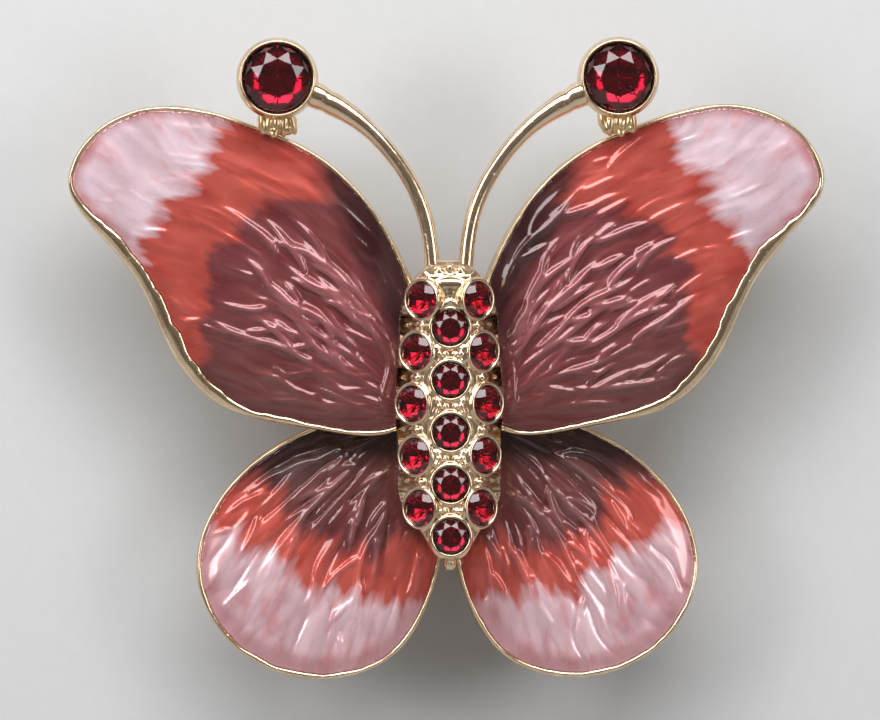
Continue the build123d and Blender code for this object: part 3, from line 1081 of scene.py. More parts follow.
@dataclass
class Wing:
    """Gold tray with enamel in it."""

    level: Level
    side: Side
    outline: Sequence[Place]
    dome_radius: float
    dome_angle: float
    dome_point: Point
    crest: float
    thick: float
    veins: VeinPlan
    coral_line: Sequence[Point]
    pink_line: Sequence[Point]
    # line bounding the upper wings' plum enamel and the lower wings' painted shadow
    plum_and_shadow_line: Sequence[Point]
    # line bounding the painted shade where the wing gets less light
    painted_shade_line: Sequence[Point]
    seed: int
    margin: float
    pink: Color
    plum: Color
    burgundy: Color
    coral_soft: float
    rim_stand: float = 0.15
    pocket: float = 0.5
    spacing: float = 0.13
    per_span: int = 30
    fold: Point = (-1.6, 5.0)
    wall_splay: float = 0.28
    crown: float = 0.16
    floor_spacing: float = 0.8
    back_spacing: float = 0.35
    under_spacing: float = 1.2

    def lean(self, points: np.ndarray) -> np.ndarray:
        """Lean bench points back about the wing's root line.

        Args:
            points: N bench points.

        Returns:
            The leaned points.
        """
        x = points[:, 0] - WING_ROOT_X
        z = points[:, 2] - BODY_TOP
        turned_x = x * math.cos(WING_DROOP) + z * math.sin(WING_DROOP) + WING_ROOT_X
        turned_z = -x * math.sin(WING_DROOP) + z * math.cos(WING_DROOP) + BODY_TOP
        return np.stack([turned_x, points[:, 1], turned_z], axis=1)

    def surface(self, plan: np.ndarray) -> np.ndarray:
        """Height of the dome over each plan point.

        Args:
            plan: N places.

        Returns:
            One height for each place.
        """
        angle = math.radians(self.dome_angle)
        off = plan - np.array(self.dome_point)
        across = -off[:, 0] * math.sin(angle) + off[:, 1] * math.cos(angle)
        return self.crest - self.dome_radius + np.sqrt(self.dome_radius**2 - across**2)

    def clear_of_body(self, plan: np.ndarray) -> np.ndarray:
        """Plan points kept out of the body.

        Args:
            plan: N places.

        Returns:
            The places, moved outward where they lay in the body.
        """
        drop = (BODY_TOP - self.crest + self.thick / 2) * math.sin(WING_DROOP)
        kept = plan.copy()
        kept[:, 0] = np.maximum(kept[:, 0], body_half(plan[:, 1]) + drop - 0.04)
        return kept

    def loops(self) -> tuple[np.ndarray, np.ndarray]:
        """Outer outline of the tray and outline of the enamel, point for point.

        Returns:
            Both loops, counter-clockwise.
        """
        outer, inner = [], []
        rows = self.outline
        for i, (x, y, rim) in enumerate(rows):
            x0, y0, _ = rows[i - 1]
            x1, y1, _ = rows[(i + 1) % len(rows)]
            length = math.hypot(x1 - x0, y1 - y0)
            outer.append((x, y))
            inner.append((x + (y1 - y0) / length * rim, y - (x1 - x0) / length * rim))
        outer_loop = ClosedCurve(outer).sample(self.per_span)
        inner_loop = ClosedCurve(inner).sample(self.per_span)
        coarse = value_noise(outer_loop / 1.3, self.seed + 9)
        fine = value_noise(outer_loop / 0.5, self.seed + 10)
        uneven = coarse + 0.5 * fine - 0.75
        inner_loop = inner_loop + (inner_loop - outer_loop) * (0.35 * uneven)[:, None]
        outer_loop, inner_loop = self.clear_of_body(outer_loop), self.clear_of_body(inner_loop)
        # the outlines run clockwise; the loops run the other way, so that faces look up
        return outer_loop[::-1], inner_loop[::-1]

    def build_tray(self, outer: np.ndarray, inner: np.ndarray) -> bpy.types.Object:
        """Tray: pocket floor, rim, rounded edge and hollow back.

        Args:
            outer: the tray's outline.
            inner: the enamel's outline, point for point.

        Returns:
            The tray.
        """
        rim = np.hypot(*(outer - inner).T)
        crown = np.minimum(0.5 * rim, self.crown)
        steps = [
            (0.0, -self.pocket), (0.0, -0.12), (0.12, 0.35), (0.3, 0.8), (0.5, 1.0), (0.72, 0.8), (0.9, 0.3)
        ]
        rings = []
        for share, lift in steps:
            plan = inner + (outer - inner) * share
            if lift <= 0:
                rings.append((plan, self.surface(plan) + lift - self.rim_stand * 0.5))
            else:
                rings.append((plan, self.surface(plan) + crown * (lift - 1.0)))
        edge = self.surface(outer)
        away = (outer - inner) / np.maximum(rim, 0.05)[:, None]
        splay = away * (self.wall_splay * smooth(0.2, 0.9, rim))[:, None]
        rings.append((outer + splay * 0.2, edge - 0.22))
        rings.append((outer + splay * 0.8, edge - self.thick * 0.5))
        rings.append((outer + splay, edge - self.thick + 0.18))
        tucked = outer + splay - away * 0.1
        rings.append((tucked, self.surface(tucked) - self.thick))
        points, faces = [], []
        count = len(outer)
        for plan, height in rings:
            points.append(np.column_stack([plan, height]))
        for r in range(len(rings) - 1):
            for i in range(count):
                j = (i + 1) % count
                faces.append((r * count + i, (r + 1) * count + i, (r + 1) * count + j, r * count + j))
        stacked = np.vstack(points)
        floor_plan, floor_faces = fill_loop(rings[0][0], self.floor_spacing)
        back_plan, back_faces = fill_loop(rings[-1][0], self.back_spacing)
        sunk = -self.pocket - self.rim_stand * 0.5
        stacked, faces = self.close(stacked, faces, floor_plan, floor_faces, 0, count, sunk, False)
        last = (len(rings) - 1) * count
        stacked, faces = self.close(stacked, faces, back_plan, back_faces, last, count, -self.thick, True)
        bench = self.lean(stacked)
        name = f"{self.level.value}_tray_{self.side.word}"
        if self.side is Side.LEFT:
            faces = [f[::-1] for f in faces]
        return make_object(name, stand_up(bench, self.side), faces)

    def close(
        self,
        points: np.ndarray,
        faces: list,
        plan: np.ndarray,
        cap: list,
        start: int,
        count: int,
        lift: float,
        flip: bool,
    ) -> tuple[np.ndarray, list]:
        """Close a ring of the tray with a cap that shares the ring's points.

        Args:
            points: the tray's points so far.
            faces: its faces so far.
            plan: the cap's points, the ring's first.
            cap: the cap's triangles.
            start: number of the ring's first point.
            count: points in the ring.
            lift: the cap's height over the dome.
            flip: whether the cap looks down.

        Returns:
            The points and faces with the cap.
        """
        inner_points = plan[count:]
        height = self.surface(inner_points) + lift
        if flip:
            rng = np.random.default_rng(self.seed)
            depth = gap_to(inner_points, plan[:count])
            height = height + 0.25 * smooth(0.3, 1.6, depth) + rng.normal(0, 0.012, len(inner_points))
        base = len(points)
        points = np.vstack([points, np.column_stack([inner_points, height])])
        for triangle in cap:
            ids = tuple(start + i if i < count else base + i - count for i in triangle)
            faces.append(ids[::-1] if flip else ids)
        return points, faces

    def relief(self, plan: np.ndarray, inner: np.ndarray, depth: np.ndarray) -> np.ndarray:
        """Height of the veins over each plan point, as a share of the full height.

        Args:
            plan: N places.
            inner: the enamel's outline.
            depth: distance of each place from that outline.

        Returns:
            One share for each place.
        """
        total = np.zeros(len(plan))
        for vein in self.veins.grow(inner, self.seed):
            reach = self.veins.width * 2.2
            low, high = vein[:, :2].min(0) - reach, vein[:, :2].max(0) + reach
            near = np.where(np.all((plan > low) & (plan < high), axis=1))[0]
            if not len(near):
                continue
            local = plan[near]
            best = np.full(len(near), 1e9)
            share = np.zeros(len(near))
            for a, b in zip(vein[:-1], vein[1:]):
                along = b[:2] - a[:2]
                t = np.clip(((local - a[:2]) @ along) / (along @ along), 0, 1)
                off = local - a[:2] - t[:, None] * along
                distance = np.hypot(off[:, 0], off[:, 1])
                nearer = distance < best
                best[nearer] = distance[nearer]
                share[nearer] = (a[2] + t * (b[2] - a[2]))[nearer]
            ridge = share * np.exp(-((best / (self.veins.width * (0.45 + 0.55 * share))) ** 2))
            total[near] = np.maximum(total[near], ridge) + 0.25 * np.minimum(total[near], ridge)
        ripples = self.veins.ripples(plan, self.seed)
        lift = 0.5 + 0.35 * self.veins.pillow
        total = np.maximum(total, lift * ripples) + 0.3 * np.minimum(total, ripples)
        total = np.clip(total, 0, 1.3) * smooth(0.15, 1.3, depth)
        beside = plan[:, 0] - body_half(plan[:, 1]) - 0.2
        wander = 0.5 * value_noise(plan / 2.2, self.seed + 12)
        low, high = self.fold
        fold = np.exp(-(((beside - 0.4 - wander) / 0.34) ** 2)) * smooth(low, low + 1.5, plan[:, 1])
        fold = fold * smooth(high, high - 1.5, plan[:, 1])
        return np.maximum(total, 0.5 * fold)

    def build_enamel(self, inner: np.ndarray) -> bpy.types.Object:
        """Enamel: fine top with raised veins, closed underneath.

        Args:
            inner: the enamel's outline.

        Returns:
            The enamel.
        """
        count = len(inner)
        plan, top = fill_loop(inner, self.spacing)
        depth = gap_to(plan, inner)
        veins = self.relief(plan, inner, depth)
        height = self.surface(plan) - self.rim_stand + veins * self.veins.height
        height[:count] += 0.05
        points = np.column_stack([plan, height])
        skirt = np.column_stack([inner, self.surface(inner) - self.pocket])
        under, bottom = fill_loop(inner, self.under_spacing)
        below = under[count:]
        faces = list(top)
        base = len(points)
        for i in range(count):
            j = (i + 1) % count
            faces.append((i, base + i, base + j, j))
        faces += [tuple(base + i for i in reversed(f)) for f in bottom]
        points = np.vstack([points, skirt, np.column_stack([below, self.surface(below) - self.pocket])])
        bench = self.lean(points)
        if self.side is Side.LEFT:
            faces = [f[::-1] for f in faces]
        name = f"{self.level.value}_enamel_surface_{self.side.word}"
        piece = make_object(name, stand_up(bench, self.side), faces)
        self.paint(piece, points[:, :2], inner, veins)
        return piece

    def paint(self, piece: bpy.types.Object, plan: np.ndarray, inner: np.ndarray, veins: np.ndarray) -> None:
        """Store where each colour, the painted shade and the painted shadow begin, and which way the brush
        went.

        Args:
            piece: the enamel.
            plan: place of each of its points.
            inner: its outline.
            veins: the veins' share of full height on its top points.
        """
        lines = {
            "coral_at": self.coral_line,
            "pink_at": self.pink_line,
            "plum_and_shadow_at": self.plum_and_shadow_line,
            "painted_shade_at": self.painted_shade_line,
        }
        for label, line in lines.items():
            distance, side = polyline_distance(plan, np.array(line, float))
            store(piece, label, distance * side)
        store(piece, "edge_at", gap_to(plan, inner) - self.margin)
        relief = np.zeros(len(plan))
        relief[: len(veins)] = veins
        store(piece, "relief", relief)
        store_map(piece, "brush_way", self.veins.way(plan))

    def build(self) -> None:
        """Make and dress the tray and its enamel."""
        outer, inner = self.loops()
        tray = self.build_tray(outer, inner)
        settle(tray, GOLD, "gold_plate", BROOCH, f"{self.level.value}_wing_{self.side.word}")
        enamel = self.build_enamel(inner)
        name = f"pearl_enamel_{self.level.value}_{self.side.word}"
        finish = EnamelFinish(name, self.seed * 1.7, self.plum, self.burgundy, self.pink, self.coral_soft)
        settle(enamel, finish, "enamel", BROOCH, f"{self.level.value}_enamel_{self.side.word}")


def upper_wing(side: Side) -> Wing:
    """Upper wing of one side.

    Args:
        side: which side.

    Returns:
        The wing, ready to build.
    """
    veins = VeinPlan(
        root=(1.5, -1.5), far_angle=18.0, turn_reach=26.0, turn_power=1.5, turn_most=1.0,
        fan=(4.0, 76.0), ribs=13,
        loose=34, across=1.3, pillow=0.15, far=0.32, height=0.50, width=0.40, centre=(11.5, 8.5),
        spread=(9.5, 8.5),
    )
    return Wing(
        level=Level.UPPER, side=side, seed=11 if side is Side.LEFT else 23,
        outline=[
            (1.6, 3.0, 0.4), (3.0, 8.8, 0.35), (5.6, 13.6, 0.3), (9.6, 17.5, 0.3), (14.7, 19.8, 0.3),
            (20.5, 21.0, 0.35), (25.8, 18.9, 0.4), (27.4, 15.3, 0.45), (25.1, 11.9, 0.75),
            (22.0, 7.8, 0.95), (19.6, 2.8, 0.9), (16.2, -0.6, 0.7), (10.5, -2.1, 0.45), (3.4, -2.0, 0.4),
        ],
        dome_radius=60.0, dome_angle=28.0, dome_point=(3.0, 3.0), crest=6.2, thick=1.5, veins=veins,
        coral_line=[
            (5.6, 17.5), (8.6, 14.2), (13.2, 13.4), (16.2, 11.0), (17.4, 8.0), (17.9, 4.0), (19.3, 1.5)
        ],
        pink_line=[
            (16.4, 22.0), (17.0, 19.5), (17.2, 17.2), (18.8, 14.8), (21.2, 12.6), (22.4, 10.2), (23.8, 8.4)
        ],
        plum_and_shadow_line=[(3.5, 0.0), (4.2, 4.0), (5.4, 7.6), (7.6, 12.0), (9.2, 14.6), (9.6, 18.0)],
        # painted shade over the lower part of the wing, which the light from above reaches less
        painted_shade_line=[(20.5, 7.5), (17.0, 5.4), (13.0, 3.0), (9.0, 0.8), (3.0, -0.6)],
        margin=0.45, pink=(0.86, 0.68, 0.74), plum=(0.034, 0.009, 0.009), burgundy=(0.21, 0.052, 0.055),
        coral_soft=1.0,
    )


def lower_wing(side: Side) -> Wing:
    """Lower wing of one side.

    Args:
        side: which side.

    Returns:
        The wing, ready to build.
    """
    veins = VeinPlan(
        root=(1.5, -1.5), far_angle=-78.0, turn_reach=20.0, turn_power=1.2, turn_most=0.5,
        fan=(-95.0, -15.0), ribs=6,
        loose=14, across=1.35, pillow=0.9, far=0.25, height=0.58, width=0.40, centre=(8.5, -9.5),
        spread=(8.0, 8.0),
    )
    return Wing(
        level=Level.LOWER, side=side, seed=37 if side is Side.LEFT else 41,
        outline=[
            (1.6, -4.0, 0.4), (3.6, -1.0, 0.35), (9.0, -1.7, 0.35), (14.2, -4.5, 0.35),
            (17.5, -8.4, 0.35), (18.5, -12.4, 0.35), (17.0, -16.6, 0.4), (13.0, -19.7, 0.4),
            (8.3, -20.3, 0.4), (4.2, -18.6, 0.35), (1.9, -15.2, 0.35), (0.9, -12.0, 0.35),
        ],
        dome_radius=50.0, dome_angle=-42.0, dome_point=(2.0, -5.0), crest=4.4, thick=1.4, veins=veins,
        coral_line=[(14.0, -3.0), (12.6, -6.5), (11.0, -9.5), (8.0, -11.0), (4.0, -10.5), (1.0, -10.0)],
        pink_line=[(19.5, -9.5), (16.0, -10.0), (12.5, -12.0), (9.5, -14.0), (6.0, -14.2), (1.0, -15.0)],
        # painted shadow of the upper wing along this wing's top edge, in near-black
        plum_and_shadow_line=[(1.0, -4.6), (8.0, -4.6), (12.0, -5.8), (15.5, -6.4)],
        # painted shade over the top of this wing, under the upper wing
        painted_shade_line=[(0.5, -7.0), (6.0, -7.4), (11.0, -8.4), (16.0, -9.0), (19.0, -9.5)],
        margin=1.25, pink=(0.76, 0.52, 0.56), plum=(0.025, 0.008, 0.008), burgundy=(0.16, 0.04, 0.042),
        coral_soft=1.5,
    )


# ---------------------------------------------------------------------------------------------
# Stones
# ---------------------------------------------------------------------------------------------


@dataclass
class CutStone:
    """Round faceted stone over a foil."""

    radius: float
    table_share: float = 0.56
    crown_share: float = 0.36
    pavilion_share: float = PAVILION_SHARE
    girdle: float = GIRDLE

    def shape(self) -> tuple[np.ndarray, Faces]:
        """Points and facets, with the girdle's lower edge at z = 0.

        Returns:
            Points, and facets as indexes into them.
        """
        r = self.radius
        crown = self.crown_share * r
        deep = self.pavilion_share * r
        eighth = math.pi / 4
        half = math.cos(eighth / 2)

        def ring(radius: float, z: float, count: int, turn: float = 0.0) -> list[Place]:
            """Evenly spaced points round z."""
            step = 2 * math.pi / count
            turns = [i * step + turn for i in range(count)]
            return [(radius * math.cos(angle), radius * math.sin(angle), z) for angle in turns]

        kite_r = 0.82 * r
        kite_z = self.girdle + crown * (r - kite_r * half) / (r - self.table_share * r)
        low_r = 0.3 * r
        low_z = -deep * (1 - low_r * half / r)
        points = ring(self.table_share * r, self.girdle + crown, 8)
        points += ring(kite_r, kite_z, 8, eighth / 2)
        points += ring(r, self.girdle, 16)
        points += ring(r, 0.0, 16)
        points += ring(low_r, low_z, 8, eighth / 2)
        points.append((0.0, 0.0, -deep))
        table, kite, top, bottom, low, tip = 0, 8, 16, 32, 48, 56
        faces = [tuple(range(8))]
        for k in range(8):
            n = (k + 1) % 8
            faces.append((table + k, kite + k, table + n))
            faces.append((table + n, kite + k, top + 2 * n, kite + n))
            faces.append((kite + k, top + 2 * k, top + 2 * k + 1))
            faces.append((kite + k, top + 2 * k + 1, top + 2 * n))
            faces.append((bottom + 2 * k, low + k, bottom + 2 * k + 1))
            faces.append((bottom + 2 * k + 1, low + k, bottom + 2 * n))
            faces.append((bottom + 2 * n, low + k, tip, low + n))
        for k in range(16):
            n = (k + 1) % 16
            faces.append((top + k, bottom + k, bottom + n, top + n))
        return np.array(points), faces

    def foil(self) -> tuple[np.ndarray, Faces]:
        """Thin cup under the pavilion.

        Returns:
            Points and faces.
        """
        r = self.radius
        deep = self.pavilion_share * r
        gap, wall = 0.012, 0.025
        outside = [(0, -deep - gap - wall), (r + gap, -gap - wall), (r + gap, 0.0)]
        profile = outside + [(r, 0.0), (0, -deep - gap)]
        return revolve(profile, 24)

    def build(self, name: str, place: Matrix, foil_name: str) -> None:
        """Make one stone and its foil.

        Args:
            name: CAD node that the stone stands for.
            place: bench place of its girdle.
            foil_name: name of the foil piece.
        """
        matrix = BENCH_TO_WORN @ place
        points, faces = self.shape()
        gem = make_object(f"{name}_cut", moved(points, matrix), faces, False)
        settle(gem, RED_GLASS, "red_stone", BROOCH, name)
        points, faces = self.foil()
        cup = make_object(foil_name, moved(points, matrix), faces)
        settle(cup, FOIL, "red_stone", BROOCH)


# ---------------------------------------------------------------------------------------------
# Body, antennae, findings
# ---------------------------------------------------------------------------------------------


def add_ball(
    shape: bmesh.types.BMesh, place: Matrix, radius: float, stretch: Sequence[float] = (1, 1, 1)
) -> None:
    """Add a ball, stretched along its own axes, in bench millimetres."""
    size = Matrix.Diagonal((*[s * radius for s in stretch], 1))
    bmesh.ops.create_icosphere(shape, subdivisions=3, radius=1.0, matrix=place @ size)


@dataclass
class BodyCasting:
    """Cast body: keel, beads and prongs in one casting, and a wire bezel round each stone."""

    layout: StoneLayout = field(default_factory=StoneLayout)
    voxel: float = 0.098
    bezel_wire: float = 0.14
    scallop_depth: float = 1.1
    soften_passes: int = 3
    bezel_lift: float = 0.02
    bezel_clear: float = 0.06
    bezel_steps: int = 48

    def beads(self, shape: bmesh.types.BMesh) -> None:
        """Add the casting's beads and prongs.

        Args:
            shape: edit mesh that they are added to, in bench millimetres.
        """
        centres = self.layout.centres()
        for y, after in zip(centres, centres[1:]):
            middle = (y + after) / 2
            for sx in (-1, 1):
                for sy in (-1, 1):
                    add_ball(shape, place_matrix(sx * 0.95, middle + sy * 0.42, BODY_TOP + 0.12), 0.24)
                add_ball(shape, place_matrix(sx * 0.42, middle, BODY_TOP + 0.05), 0.2)
        for step in range(9):
            share = step / 8
            for sx in (-1, 1):
                rise = centres[0] + 1.95 - 1.1 * share
                add_ball(shape, place_matrix(sx * 1.25 * share, rise, BODY_TOP + 0.14), 0.2)
        sides = self.layout.sides()
        for (x, y), (x2, y2) in zip(sides, sides[1:]):
            for out, radius in ((-0.15, 0.26), (0.3, 0.2), (0.75, 0.28)):
                bead_x = (x + x2) / 2 + out
                for sx in (-1, 1):
                    place = place_matrix(sx * bead_x, (y + y2) / 2, flank_z(bead_x) + 0.14)
                    add_ball(shape, place, radius, (1.15, 0.8, 1.1))
        head_y = sides[0][1]
        for x, rise, radius in ((0.0, 2.25, 0.34), (0.75, 2.1, 0.3), (1.5, 1.75, 0.28), (2.1, 1.35, 0.24)):
            for sx in (-1, 1):
                add_ball(shape, place_matrix(sx * x, head_y + rise, flank_z(x) - 0.35), radius)
        add_ball(shape, place_matrix(0, centres[0] + 3.1, BODY_TOP - 0.1), 1.0, (1.3, 0.52, 0.42))
        add_ball(shape, place_matrix(0, centres[0] + 2.5, BODY_TOP - 0.1), 0.52, (1.0, 1.0, 0.75))
        tail_y = centres[-1] - self.layout.bezel
        add_ball(shape, place_matrix(0, tail_y - 0.45, BODY_TOP - 1.3), 0.5)
        for sx in (-1, 1):
            add_ball(shape, place_matrix(sx * 0.62, tail_y + 0.1, BODY_TOP - 0.5), 0.28)

    def build_casting(self) -> None:
        """Join the keel and its beads and melt them together."""
        shape = bmesh.new()
        shape.from_mesh(frame["nodes"]["body_casting"].data)
        extra = bmesh.new()
        self.beads(extra)
        extra.transform(BENCH_TO_WORN)
        spare = bpy.data.meshes.new("beads")
        extra.to_mesh(spare)
        extra.free()
        shape.from_mesh(spare)
        bpy.data.meshes.remove(spare)
        piece = from_bmesh("body_cast", shape)
        melt_together(piece, self.voxel, self.soften_passes, True)
        self.scallop(piece)
        store_hollows(piece, 0.05)
        settle(piece, GOLD, "gold_plate", BROOCH, "body_casting")

    def scallop(self, piece: bpy.types.Object) -> None:
        """Press hollows into the flanks between the side stones.

        Args:
            piece: the casting.
        """
        mesh = piece.data
        places = np.zeros(len(mesh.vertices) * 3)
        mesh.vertices.foreach_get("co", places)
        places = places.reshape(-1, 3) / MM
        sides = self.layout.sides()
        for (x, y), (x2, y2) in zip(sides, sides[1:]):
            middle_x = (x + x2) / 2 + self.layout.bezel * math.cos(FLANK_SLOPE)
            middle_z = (y + y2) / 2 - PIN_Y
            for side in (-1, 1):
                off = np.hypot(places[:, 0] - side * middle_x, (places[:, 2] - middle_z) * 1.25)
                front = smooth(-2.5, -3.5, places[:, 1])
                places[:, 1] += self.scallop_depth * smooth(1.15, 0.35, off) * front
        mesh.vertices.foreach_set("co", (places * MM).ravel())
        mesh.update()

    def build_bezels(self) -> None:
        """Wire ring round each body stone."""
        for name, place in self.layout.places().items():
            radius = self.layout.radius + self.bezel_clear
            rise = self.layout.girdle + self.bezel_lift
            points, faces = ring_shape(radius, self.bezel_wire, rise, self.bezel_steps)
            bezel = name.replace("stone", "bezel")
            piece = make_object(bezel, moved(points, BENCH_TO_WORN @ place), faces)
            settle(piece, GOLD_WIRE, "gold_plate", BROOCH)

    def build(self) -> None:
        """Make the body, its bezels and its stones."""
        self.build_casting()
        self.build_bezels()
        stone = CutStone(self.layout.radius)
        for name, place in self.layout.places().items():
            stone.build(name, place, name.replace("stone", "foil"))


def ring_shape(radius: float, wire: float, rise: float, steps: int) -> tuple[np.ndarray, Faces]:
    """Closed wire ring about z.

    Args:
        radius: radius of the wire's middle line.
        wire: the wire's own radius.
        rise: height of its middle line.
        steps: faces round the ring.

    Returns:
        Points and faces.
    """
    points, faces, section = [], [], 10
    for i in range(steps):
        turn = 2 * math.pi * i / steps
        for k in range(section):
            tilt = 2 * math.pi * k / section
            reach = radius + wire * math.cos(tilt)
            points.append((reach * math.cos(turn), reach * math.sin(turn), rise + wire * math.sin(tilt)))
    for i in range(steps):
        j = (i + 1) % steps
        for k in range(section):
            n = (k + 1) % section
            faces.append((i * section + k, j * section + k, j * section + n, i * section + n))
    return np.array(points), faces


def melt_together(piece: bpy.types.Object, voxel: float, passes: int, shade_smooth: bool) -> None:
    """Melt a piece's overlapping parts into one skin and soften it.

    Args:
        piece: the object.
        voxel: size of the grid that the skin is drawn on, in millimetres.
        passes: how often the skin is softened.
        shade_smooth: whether the skin is shaded smooth.
    """
    melt = piece.modifiers.new("melt", "REMESH")
    melt.mode = "VOXEL"
    melt.voxel_size = voxel * MM
    melt.use_smooth_shade = shade_smooth
    soften = piece.modifiers.new("soften", "SMOOTH")
    soften.factor = 0.5
    soften.iterations = passes
    apply_modifiers(piece)


def apply_modifiers(piece: bpy.types.Object) -> None:
    """Replace a piece's mesh with the result of its modifiers.

    Args:
        piece: the object.
    """
    bpy.context.view_layer.update()
    graph = bpy.context.evaluated_depsgraph_get()
    mesh = bpy.data.meshes.new_from_object(piece.evaluated_get(graph))
    old = piece.data
    piece.modifiers.clear()
    piece.data = mesh
    mesh.name = piece.name
    bpy.data.meshes.remove(old)
    mesh.polygons.foreach_set("use_smooth", [True] * len(mesh.polygons))


def store_hollows(piece: bpy.types.Object, deep_mm: float) -> None:
    """Store where a mesh is hollow, for the painted shade and tarnish that darken its recesses.

    Args:
        piece: the object.
        deep_mm: how far a point lies below its neighbours' middle in a full hollow.
    """
    mesh = piece.data
    count = len(mesh.vertices)
    places = np.zeros(count * 3)
    normals = np.zeros(count * 3, np.float32)
    edges = np.zeros(len(mesh.edges) * 2, np.int32)
    mesh.vertices.foreach_get("co", places)
    mesh.vertex_normals.foreach_get("vector", normals)
    mesh.edges.foreach_get("vertices", edges)
    places, normals, edges = places.reshape(-1, 3), normals.reshape(-1, 3), edges.reshape(-1, 2)
    ends = np.concatenate([edges, edges[:, ::-1]])
    number = np.maximum(np.bincount(ends[:, 0], minlength=count), 1)

    def around(values: np.ndarray) -> np.ndarray:
        """Mean of each point's neighbours."""
        return np.bincount(ends[:, 0], weights=values[ends[:, 1]], minlength=count) / number

    far = places.copy()
    for _ in range(6):
        far = np.stack([around(far[:, k]) for k in range(3)], axis=1)
    below = ((far - places) * normals).sum(1) / MM
    for _ in range(2):
        below = 0.5 * below + 0.5 * around(below)
    store(piece, "hollow", smooth(0.15 * deep_mm, deep_mm, below))


@dataclass
class Antenna:
    """Gold wire from the head to a stone in a cup, with a lug to the wing."""

    side: Side
    base: Point = (1.15, 8.9)
    cup_centre: Point = (12.2, 22.9)
    bend: tuple[Point, ...] = ((0.0, 0.0), (0.05, 0.29), (0.23, 0.58), (0.52, 0.81), (0.82, 0.94))
    base_z: float = 6.9
    cup_base: float = 4.0
    cup_height: float = 2.9
    cup_base_r: float = 2.1
    cup_wall: float = 0.45
    stone_radius: float = 2.49
    wire: float = 0.52
    flare: float = 0.38
    taper: float = 0.12
    notch: float = 0.07
    seat_depth: float = 0.22
    lug_voxel: float = 0.08
    lug_passes: int = 2

    def centre_line(self) -> np.ndarray:
        """Smooth line of the wire, in bench millimetres.

        Returns:
            The line's points.
        """
        fall = self.base_z - (self.cup_base + self.cup_height / 2)
        width, height = self.cup_centre[0] - self.base[0], self.cup_centre[1] - self.base[1]
        corners = [
            (self.base[0] + a * width, self.base[1] + u * height, self.base_z - a * fall)
            for a, u in self.bend
        ]
        return open_curve(np.array(corners), 24)

    def build_wire(self) -> None:
        """Tapered wire that flares into the cup, with a small notch before the flare."""
        line = self.centre_line()
        length = np.concatenate([[0], np.cumsum(np.linalg.norm(np.diff(line, axis=0), axis=1))])
        share = length / length[-1]
        radius = self.wire * (1.0 + self.taper * share) + self.flare * smooth(0.62, 1.0, share)
        radius = radius - self.notch * np.exp(-(((share - 0.9) / 0.014) ** 2))
        rng = np.random.default_rng(5)
        radius = radius * (1 + 0.02 * np.convolve(rng.normal(0, 1, len(share)), np.ones(5) / 5, "same"))
        points, faces = tube(line, radius, 20)
        if self.side is Side.LEFT:
            faces = [f[::-1] for f in faces]
        piece = make_object(f"antenna_wire_{self.side.word}", stand_up(points, self.side), faces)
        settle(piece, GOLD_WIRE, "gold_plate", BROOCH, f"antenna_{self.side.word}")

    def cup_profile(self) -> list[Point]:
        """Radius and height of the cup's section, from the inside of its seat round to its base.

        Returns:
            The section, both ends on the axis.
        """
        outer = self.stone_radius + self.cup_wall
        top = self.cup_height
        seat = top - self.seat_depth
        bore = self.stone_radius + 0.04
        depth = PAVILION_SHARE * self.stone_radius + 0.06
        profile = [(0, seat - depth), (0.2, seat - depth), (bore, seat - 0.02), (bore, top - 0.05)]
        for i in range(7):
            angle = math.pi * (1 - i / 6)
            profile.append((bore + 0.1 + 0.1 * math.cos(angle), top - 0.02 + 0.1 * math.sin(angle)))
        profile += [(bore + 0.24, top - 0.2), (outer - 0.04, top - 0.5)]
        profile += [(outer, top - 0.85), (outer - 0.05, top - 1.15)]
        profile += [(outer - 0.2, top * 0.45), (self.cup_base_r + 0.12, 0.25)]
        profile += [(self.cup_base_r, 0.08), (self.cup_base_r - 0.12, 0.0), (0, 0.0)]
        return profile

    def build_cup(self) -> None:
        """Turned cup with a rounded lip."""
        points, faces = revolve(self.cup_profile(), 72)
        faces = [f[::-1] for f in faces]
        place = place_matrix(self.cup_centre[0] * self.side.value, self.cup_centre[1], self.cup_base)
        piece = make_object(f"stone_cup_{self.side.word}", moved(points, BENCH_TO_WORN @ place), faces)
        settle(piece, GOLD, "gold_plate", BROOCH, f"antenna_cup_{self.side.word}")

    def build_bridge(self) -> None:
        """Lumpy solder lug between the cup and the wing's edge."""
        x, y = self.cup_centre
        shape = bmesh.new()
        low = self.cup_base + 0.9
        rng = np.random.default_rng(8)
        add_ball(shape, place_matrix(x * self.side.value, y - 3.05, low - 0.15), 1.0, (1.45, 1.0, 0.42))
        for dx in (-1.05, -0.5, 0.05, 0.6, 1.1):
            reach, turn = rng.uniform(0.9, 1.15), rng.uniform(-0.25, 0.25)
            below, above = 0.1 * rng.random(), 0.1 * rng.random()
            place = place_matrix((x + dx) * self.side.value, y - 3.05 - below, low + above)
            add_ball(shape, place @ Matrix.Rotation(turn, 4, "Z"), 1.0, (0.32, reach, 0.5))
        for dx, dy, radius in ((-0.8, -3.75, 0.3), (0.25, -3.95, 0.34), (0.95, -3.7, 0.26)):
            add_ball(shape, place_matrix((x + dx) * self.side.value, y + dy, low + 0.2), radius)
        shape.transform(BENCH_TO_WORN)
        piece = from_bmesh(f"solder_lug_{self.side.word}", shape)
        melt_together(piece, self.lug_voxel, self.lug_passes, False)
        settle(piece, GOLD_CAST, "gold_plate", BROOCH, f"cup_bridge_{self.side.word}")

    def build(self) -> None:
        """Make and dress the antenna."""
        self.build_wire()
        self.build_cup()
        self.build_bridge()
        x, y = self.cup_centre
        place = place_matrix(x * self.side.value, y, self.cup_base + self.cup_height - self.seat_depth)
        word = self.side.word
        CutStone(self.stone_radius).build(f"antenna_stone_{word}", place, f"antenna_foil_{word}")


